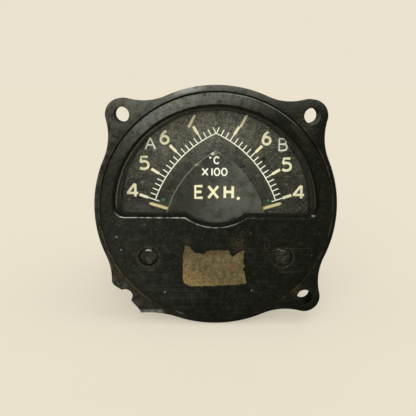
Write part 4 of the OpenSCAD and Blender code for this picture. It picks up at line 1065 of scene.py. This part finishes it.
# %% Figures on the dial, legend on the arch plate
# For each piece its paint, and its lines as (signs and their places, z, height, pen, proud)
LETTERING = {
    "dial_figures": (cream_paint, [
        ([("4", -31.0, 2.8), ("5", -26.5, 12.4), ("6", -19.2, 21.3),
          ("4", 27.1, 2.4), ("5", 22.9, 12.1), ("6", 15.9, 21.2)], Z_DIAL, 4.5, 0.86, 0.09)]),
    "worn_sevens": (worn_paint, [([("7", -9.5, 26.9), ("7", 8.3, 27.1)], Z_DIAL, 4.2, 0.86, 0.05)]),
    "ghost_bars": (ghost_paint, [([("-", -9.0, 31.0), ("-", 8.4, 31.2)], Z_DIAL, 4.2, 0.5, 0.03)]),
    "side_letters": (white_legend, [([("A", -24.3, 19.4), ("B", 21.6, 19.2)], Z_DIAL, 4.0, 0.56, 0.04)]),
    "units_legend": (white_legend, [
        ([("C", -0.7, 14.9)], Z_ARCH, 2.2, 0.5, 0.04),
        ([("X", -4.7, 10.8), ("1", -1.6, 10.8), ("0", -0.5, 10.8), ("0", 2.0, 10.8)],
         Z_ARCH, 2.4, 0.52, 0.04),
        ([(".", -2.0, 16.75)], Z_ARCH, 1.6, 0.42, 0.04)]),
    "arch_legend": (pale_cream, [
        ([("E", -7.4, 2.9), ("X", -2.5, 2.9), ("H", 2.9, 2.9)], Z_ARCH, 4.1, 0.92, 0.08),
        ([(".", 7.8, 2.5)], Z_ARCH, 2.6, 0.62, 0.08)]),
    "green_dabs": (green_paint, [([(".", -18.3, 1.3), (".", 18.5, 1.1)], Z_DIAL, 3.2, 0.5, 0.04)]),
}
for name, (colour, lines) in LETTERING.items():
    bm = bmesh.new()
    for line in lines:
        write(bm, *line)
    make_piece(bm, name, colour)

# %% [markdown]
# ## Pointers
# Each pointer is a thin strip with a pencil point, painted cream with the same luminous
# paint, dirty along both edges. The pattern is turned to lie along the pointer: distance
# from the pivot along it, and distance off its middle.

# %% Pointer finishes
REST_ANGLE = 16.8


def pointer_finish(name, side):
    f = Finish(name)
    turn = math.radians(REST_ANGLE if side > 0 else 180 - REST_ANGLE)
    dx, dy = f.x + side * PIVOT_X, f.y - PIVOT_Y
    along = dx * math.cos(turn) + dy * math.sin(turn)
    off = (dy * math.cos(turn) - dx * math.sin(turn)).size()
    grain = f.clouds(2.5, 4, 0.7)
    cream = f.blend(grain.rise(0.4, 0.75) * 0.5, (0.80, 0.68, 0.38), (0.58, 0.44, 0.20))
    edge = (off + grain * 0.25).rise(0.50, 0.66)
    colour = f.blend(edge * 0.8, cream, (0.09, 0.065, 0.03))
    colour = f.blend(along.rise(26.5, 24.5), colour, (0.02, 0.02, 0.018))
    return f.done(f.surface(colour, 0.55, normal=f.bump(grain, 0.05, 0.5), Specular_IOR_Level=0.3))


soft_piece("pointer_a", pointer_finish("pointer_a_paint", -1), 0.08, "movement_a")
soft_piece("pointer_b", pointer_finish("pointer_b_paint", 1), 0.08, "movement_b")

# %% [markdown]
# ## Torn label
# The paper label was torn off by hand, so its outline is ragged and a paler fringe of torn
# fibres runs round it. The outline is pushed about with noise, again from a seed picked out
# of 240 for the edge closest to the photograph's. An inset ring carries an attribute that
# is 1 on the torn edge and 0 inside, which the finish reads.

# %% Label
TORN = [(-11.1, -16), (-10.4, -12.2), (-8.8, -12.7), (-7.1, -14.8), (-4, -15.3), (-3.1, -14.3), (0.2, -13.9),
        (3.6, -14.1), (4.2, -13.4), (5.1, -15.6), (5.8, -16.3), (8.3, -14.3), (9.7, -13.7), (9.5, -18.8),
        (10, -19.4), (9.2, -21), (9.9, -21.5), (10.7, -25.4), (10.1, -25.9), (-0.4, -26.6), (-8.6, -26.8),
        (-10.6, -25.5), (-11.1, -24.6)]
LABEL_BACK, LABEL_FRONT, LABEL_SEED, FRINGE_W = 2.1, 2.25, 140, 0.32


def torn_label():
    noise.seed_set(LABEL_SEED)
    bm = bmesh.new()
    outline = [Vector(a).lerp(Vector(b), i / 8) for a, b in zip(TORN, TORN[1:] + TORN[:1]) for i in range(8)]
    for p in outline:
        coarse = noise.noise_vector((p.x * 1.3, p.y * 1.3, 0)) * 0.30
        fine = noise.noise_vector((p.x * 4, p.y * 4, 3)) * 0.16
        p += (coarse + fine).xy
    bm.faces.new([bm.verts.new((p.x, p.y, LABEL_BACK)) for p in outline])
    torn = bm.verts.layers.float.new("torn")
    for v in bm.verts:
        v[torn] = 1
    inner = bmesh.ops.inset_region(bm, faces=bm.faces[:], thickness=FRINGE_W, use_even_offset=False)
    kept = {f for f in bm.faces} - set(inner["faces"])
    for v in {v for f in kept for v in f.verts}:
        v[torn] = 0
    thicken(bm, LABEL_FRONT - LABEL_BACK)
    return bm


def label_finish():
    f = Finish("label_paper")
    torn = f.node("ShaderNodeAttribute", {"attribute_name": "torn"}, out="Fac")
    fibre = f.clouds(1.9, 4, 0.8)
    flock = f.clouds(0.85, 3, 0.6)
    patch = f.clouds(0.45, 5, 0.7)
    low_left = (f.y * 0.8 + f.x * 0.45).rise(-17.5, -24.5)
    colour = f.blend(patch.rise(0.40, 0.60), (0.062, 0.051, 0.020), (0.112, 0.092, 0.041))
    colour = f.blend(low_left * 0.65, colour, (0.235, 0.158, 0.062))
    colour = f.blend(fibre.rise(0.50, 0.66) * 0.45, colour, (0.25, 0.21, 0.118))
    colour = f.blend(fibre.rise(0.46, 0.33) * 0.7, colour, (0.040, 0.030, 0.012))
    stain = f.spot(-9.6, -22.4, patch * 5, 5.0, 3.0) + f.spot(5.6, -19.2, patch * 5, 4.3, 3.0)
    colour = f.blend(stain * fibre.rise(0.3, 0.6) * 0.55, colour, (0.17, 0.078, 0.026))
    colour = f.blend(flock.rise(0.49, 0.36) * 0.7, colour, (0.052, 0.040, 0.016))
    colour = f.blend(flock.rise(0.55, 0.68) * 0.25, colour, (0.25, 0.215, 0.13))
    smeared = f.y.rise(-16.2, -14.6) * flock.rise(0.42, 0.54)
    colour = f.blend(smeared * 0.6, colour, (0.036, 0.029, 0.014))
    thread = f.clouds(0.5, 4, 0.6, at=f.stretched(1, 1, 0.5, 3)).near(0.5, 0.018, 0.006)
    colour = f.blend(thread * patch.rise(0.45, 0.55) * 0.7, colour, (0.070, 0.028, 0.010))
    black = f.specks(0.9, 0.2, 0.26) + f.specks(1.7, 0.25, 0.2) + (fibre * patch).rise(0.36, 0.42)
    colour = f.blend(black * 0.6, colour, (0.03, 0.024, 0.012))
    colour = f.blend(torn.rise(0.25, 0.9) * fibre.rise(0.3, 0.6) * 0.7, colour, (0.38, 0.33, 0.20))
    return f.done(f.surface(colour, 0.85, normal=f.bump(fibre + patch, 0.12, 0.6), Specular_IOR_Level=0.15))


label_paper = label_finish()
make_piece(torn_label(), "torn_label", label_paper, stands_for=["paper_label"])

# %% [markdown]
# ## Glass
# Window glass shows mainly as a faint veil: it mirrors the pale room a little, more at a
# slant, and holds a film of dust. A see-through shader is mixed with a mirror by Fresnel
# and then with a little dust. It is cheaper to render than real refraction, and through
# flat glass it looks the same.

# %% Glass finish
def glass_finish():
    f = Finish("window_glass")
    clear = f.node("ShaderNodeBsdfTransparent", {}, {"Color": (0.97, 0.98, 0.96, 1)})
    mirror = f.node("ShaderNodeBsdfGlossy", {}, {"Color": (1, 1, 1, 1), "Roughness": 0.03})
    slant = f.node("ShaderNodeFresnel", {}, {"IOR": 1.18})
    pane = f.node("ShaderNodeMixShader", {}, [slant, clear, mirror])
    film = f.clouds(0.25, 5, 0.7).rise(0.4, 0.75) * 0.02 + f.specks(0.8, 0.15, 0.15) * 0.3
    dust = f.surface((0.55, 0.53, 0.45), 0.9, Specular_IOR_Level=0.0)
    return f.done(f.node("ShaderNodeMixShader", {}, [film, pane, dust]))


glass = glass_finish()
print("finish:", glass.name)

# %% [markdown]
# ## Metals, boards and windings
# Behind the dial hides a whole movement. Each of its parts gets the finish it has on the
# real thing, so the gauge also stands up to being taken apart: tarnished brass, brushed
# aluminium, blued steel, iron with rust in its pores, enamelled copper wire laid turn by
# turn, and brown laminate with a cloth weave.

# %% Finishes of the inner parts
def metal(name, colour, dull, rough, tarnish=0.5, brushed=0.0, shine=1.0):
    """Metal, dulled in patches and darker in its pores, and brushed where asked."""
    f = Finish(name)
    patch = f.clouds(0.5, 5, 0.65)
    fine = f.clouds(5.0, 3, 0.7)
    mixed = f.blend(patch.rise(0.4, 0.75) * tarnish, colour, dull)
    mixed = f.blend(fine.rise(0.6, 0.8) * 0.3 * tarnish, mixed, tuple(c * 0.3 for c in dull))
    height, level = fine, rough + patch * 0.12
    if brushed:
        lines = f.clouds(1.0, 3, 0.6, at=f.stretched(0.4, 9, 9))
        height, level = lines, level + lines * brushed
    return f.done(f.surface(mixed, level, shine, normal=f.bump(height, 0.02, 0.4)))


def wound(name, wire, shade, pitch):
    """Fine wire laid turn beside turn, as dark and bright lines."""
    f = Finish(name)
    turns = f.node("ShaderNodeTexWave", {"wave_type": "BANDS", "bands_direction": "Y"},
                   {"Vector": f.mm, "Scale": 0.314 / pitch, "Distortion": 0.6, "Detail": 2})
    tone = f.clouds(0.6, 3)
    colour = f.blend(turns.rise(0.2, 0.8), shade, wire)
    colour = f.blend(tone * 0.3, colour, shade)
    return f.done(f.surface(colour, 0.35 + tone * 0.2, 0.6, normal=f.bump(turns, 0.08, 0.8)))


def woven(name, light, dark, pitch, rough):
    """Two crossing sets of threads."""
    f = Finish(name)
    sets = [f.node("ShaderNodeTexWave", {"wave_type": "BANDS", "bands_direction": way},
                   {"Vector": f.mm, "Scale": 0.314 / pitch, "Distortion": 1.2}) for way in "XZ"]
    weave = sets[0].most(sets[1])
    tone = f.clouds(0.4, 4)
    colour = f.blend(weave * 0.6 + tone * 0.3, dark, light)
    return f.done(f.surface(colour, rough, normal=f.bump(weave, 0.03, 0.4), Specular_IOR_Level=0.4))


def plain(name, light, dark, rough, gloss=0.3):
    """A moulded or rubbery surface, mottled from light to dark."""
    f = Finish(name)
    tone = f.clouds(0.5, 5, 0.65)
    fine = f.clouds(3.5, 4, 0.7)
    colour = f.blend(tone.rise(0.35, 0.7) * 0.7 + fine * 0.3, dark, light)
    return f.done(f.surface(colour, rough + fine * 0.15, normal=f.bump(fine + tone, 0.05, 0.4),
                            Specular_IOR_Level=gloss))


FINISHES = {
    "case_moulding": flange_black, "cover_moulding": cover_black, "window_glass": glass,
    "dial_black": dial_black, "arch_black": arch_black, "pointer_paint": cream_paint,
    "label_paper": label_paper,
    "black_rubber": plain("black_rubber", (0.022, 0.021, 0.019), (0.009, 0.009, 0.008), 0.8, 0.15),
    "dark_metal": metal("dark_metal", (0.09, 0.09, 0.085), (0.05, 0.045, 0.035), 0.45),
    "screw_steel": metal("screw_steel", (0.42, 0.41, 0.38), (0.16, 0.11, 0.07), 0.38, 0.8),
    "brass": metal("brass", (0.60, 0.43, 0.17), (0.26, 0.16, 0.06), 0.30, 0.7),
    "aluminium_plate": metal("aluminium_plate", (0.60, 0.60, 0.58), (0.38, 0.37, 0.34), 0.38, 0.5, 0.2),
    "soft_iron": metal("soft_iron", (0.27, 0.26, 0.25), (0.15, 0.10, 0.07), 0.45, 0.7),
    "magnet_steel": metal("magnet_steel", (0.17, 0.175, 0.19), (0.09, 0.085, 0.08), 0.42, 0.6),
    "hairspring_bronze": metal("hairspring_bronze", (0.56, 0.34, 0.16), (0.33, 0.18, 0.08), 0.28, 0.4),
    "staff_steel": metal("staff_steel", (0.56, 0.56, 0.55), (0.34, 0.33, 0.31), 0.22, 0.3),
    "copper_winding": wound("copper_winding", (0.62, 0.25, 0.09), (0.16, 0.05, 0.02), 0.25),
    "bobbin_wire": wound("bobbin_wire", (0.20, 0.23, 0.09), (0.05, 0.05, 0.02), 0.35),
    "zero_screw_metal": metal("zero_screw_metal", (0.060, 0.058, 0.048), (0.045, 0.034, 0.018), 0.5, 0.8,
                              shine=0.4),
    "board_laminate": woven("board_laminate", (0.16, 0.075, 0.03), (0.075, 0.032, 0.013), 0.6, 0.45),
    "terminal_metal": metal("terminal_metal", (0.55, 0.50, 0.40), (0.28, 0.21, 0.12), 0.34, 0.8),
    "bush_moulding": plain("bush_moulding", (0.075, 0.030, 0.018), (0.030, 0.012, 0.008), 0.4),
    "wire_sleeve": woven("wire_sleeve", (0.34, 0.10, 0.06), (0.15, 0.04, 0.025), 0.5, 0.8),
}
for solid in nodes.values():
    for place in solid.material_slots:
        place.material = FINISHES[place.material.name.split(".")[0]]
print(len(FINISHES), "finishes on", len(nodes), "solids")

# %% [markdown]
# ## Zero screws
# Down in its recess each pointer has a slotted screw that shifts its zero. The blackened
# head has a domed edge, and its slot is full of olive dirt except where a screwdriver has
# scraped it bright.

# %% Zero screws
# For each screw: its x, its slot's turn in degrees, how light the head is, how much dirt is in
# the slot, and how strongly the top of the head glints
ZERO_SCREWS = {"a": (ZERO_X, 42.0, 0.7, 0.45, 0.15), "b": (-ZERO_X, -40.0, 1.3, 0.3, 0.8)}


def zero_finish(side_name):
    x, slot_turn, lightness, dirt, shine = ZERO_SCREWS[side_name]
    f = Finish("zero_screw_" + side_name + "_black")
    turn = math.radians(slot_turn)
    dx, dy = f.x - x, f.y - ZERO_Y
    off = (dy * math.cos(turn) - dx * math.sin(turn)).size()
    grain = f.clouds(2.2, 5, 0.7)
    patch = f.clouds(0.6, 3)
    worn = tuple(level * lightness for level in (0.028, 0.027, 0.018))
    colour = f.blend(patch.rise(0.4, 0.65), (0.005, 0.0054, 0.0036), worn)
    colour = f.blend(f.ring(x, ZERO_Y).rise(2.1, 2.8) * 0.3, colour, (0.0025, 0.003, 0.002))
    lip = off.near(0.5, 0.32, 0.08) * grain.rise(0.44, 0.62)
    colour = f.blend(lip * 0.30, colour, (0.085, 0.072, 0.042))
    slot_dirt = off.rise(0.5, 0.3) * dirt
    colour = f.blend(slot_dirt * grain.rise(0.4, 0.55), colour, (0.052, 0.038, 0.018))
    khaki = grain.rise(0.48, 0.62) * patch.rise(0.4, 0.6)
    colour = f.blend(khaki * 0.4, colour, (0.075, 0.066, 0.036))
    colour = f.blend(grain.rise(0.62, 0.70) * 0.5, colour, (0.13, 0.125, 0.095))
    crown = f.ring(x, ZERO_Y).near(2.2, 0.4, 0.1) * (f.y - ZERO_Y).rise(1.4, 2.1)
    glint = f.x.near(x, 1.4, 0.5) * grain.rise(0.3, 0.5) * shine
    colour = f.blend(crown * glint, colour, (0.50, 0.50, 0.46))
    return f.done(f.surface(colour, 0.6, normal=f.bump(grain, 0.06, 0.4), Specular_IOR_Level=0.12))


for letter in ZERO_SCREWS:
    node, body = "zero_screw_" + letter, "zero_adjuster_" + letter
    soft_piece(node, zero_finish(letter), 0.3, body)

# %% [markdown]
# ## Terminals at the back
# Four threaded studs stand out of the rear wall through insulating bushes, each with a
# hexagon nut. The thread is a saw-tooth outline turned on a lathe, which at this size can't
# be told from a helix. A nut is a hexagon cut by a turned double cone, so its corners get
# the curved chamfers of a real nut.

# %% Studs and nuts
STUD_XY = [(x * 13.0, y * 9.0) for x in (-1, 1) for y in (-1, 1)]
STUD_R, TIP_R, PITCH, NUT_T, NUT_CORNER = 2.0, 1.7, 0.6, 3.2, 7 / math.sqrt(3)
Z_STUD_IN, Z_STUD_END = depth_of("terminal_studs"), depth_of("terminal_studs", False)
Z_NUT_IN, Z_NUT_END = depth_of("terminal_nuts"), depth_of("terminal_nuts", False)


def repeated(bm, shifts):
    """Copies all of bm to each shift and removes the first."""
    first = bm.verts[:] + bm.edges[:] + bm.faces[:]
    for shift in shifts:
        made = bmesh.ops.duplicate(bm, geom=first)["geom"]
        bmesh.ops.translate(bm, vec=shift, verts=verts_of(made))
    bmesh.ops.delete(bm, geom=verts_of(first), context="VERTS")
    return bm


def stud():
    """One threaded stud about the middle of the dial, still to be copied to its places."""
    shank_end = Z_NUT_END - 0.6
    teeth = int((shank_end - Z_STUD_END - 0.5) / PITCH)
    outline = [(0, Z_STUD_IN), (STUD_R - 0.25, Z_STUD_IN), (STUD_R, Z_STUD_IN - 0.25), (STUD_R, shank_end),
               (TIP_R - 0.3, shank_end - 0.05)]
    for tooth in range(teeth):
        z = shank_end - 0.1 - tooth * PITCH
        outline += [(TIP_R, z - PITCH * 0.42), (TIP_R, z - PITCH * 0.55), (TIP_R - 0.3, z - PITCH * 0.97)]
    outline += [(TIP_R - 0.35, Z_STUD_END + 0.15), (TIP_R - 0.55, Z_STUD_END), (0, Z_STUD_END)]
    return lathe(outline, 28)


def nut():
    """One hexagon nut that rises from z = 0, still to be copied to its places."""
    hexagon = bmesh.new()
    bmesh.ops.create_circle(hexagon, segments=6, radius=NUT_CORNER, cap_ends=True)
    bmesh.ops.rotate(hexagon, verts=hexagon.verts, matrix=Matrix.Rotation(math.radians(30), 3, "Z"))
    grown = bmesh.ops.extrude_face_region(hexagon, geom=hexagon.faces[:])["geom"]
    bmesh.ops.translate(hexagon, vec=(0, 0, NUT_T), verts=verts_of(grown))
    bmesh.ops.recalc_face_normals(hexagon, faces=hexagon.faces)
    edge, wide = NUT_CORNER - 3.4, NUT_CORNER + 0.1
    turned = lathe([(STUD_R, -0.001), (3.3, -0.001), (wide, edge), (wide, NUT_T - edge),
                    (3.3, NUT_T + 0.001), (STUD_R, NUT_T + 0.001), (STUD_R, -0.001)], 72)
    return cut_away(as_object(hexagon, "hex_nut"), [as_object(turned, "cone")], "INTERSECT")


studs = repeated(stud(), [(x, y, 0) for x, y in STUD_XY])
terminal_metal = FINISHES["terminal_metal"]
make_piece(studs, "threaded_studs", terminal_metal, stands_for=["terminal_studs"])
one_nut = nut()
nuts = bmesh.new()
nuts.from_mesh(one_nut.data)
bpy.data.objects.remove(one_nut)
bmesh.ops.transform(nuts, matrix=STAND.inverted(), verts=nuts.verts)
repeated(nuts, [(x, y, z) for x, y in STUD_XY for z in (Z_NUT_IN - NUT_T, Z_NUT_END)])
make_piece(nuts, "hex_nuts", terminal_metal, stands_for=["terminal_nuts"])
soft_piece("terminal_bushes", FINISHES["bush_moulding"], 0.25)
soft_piece("cover_screws", FINISHES["screw_steel"], 0.12)
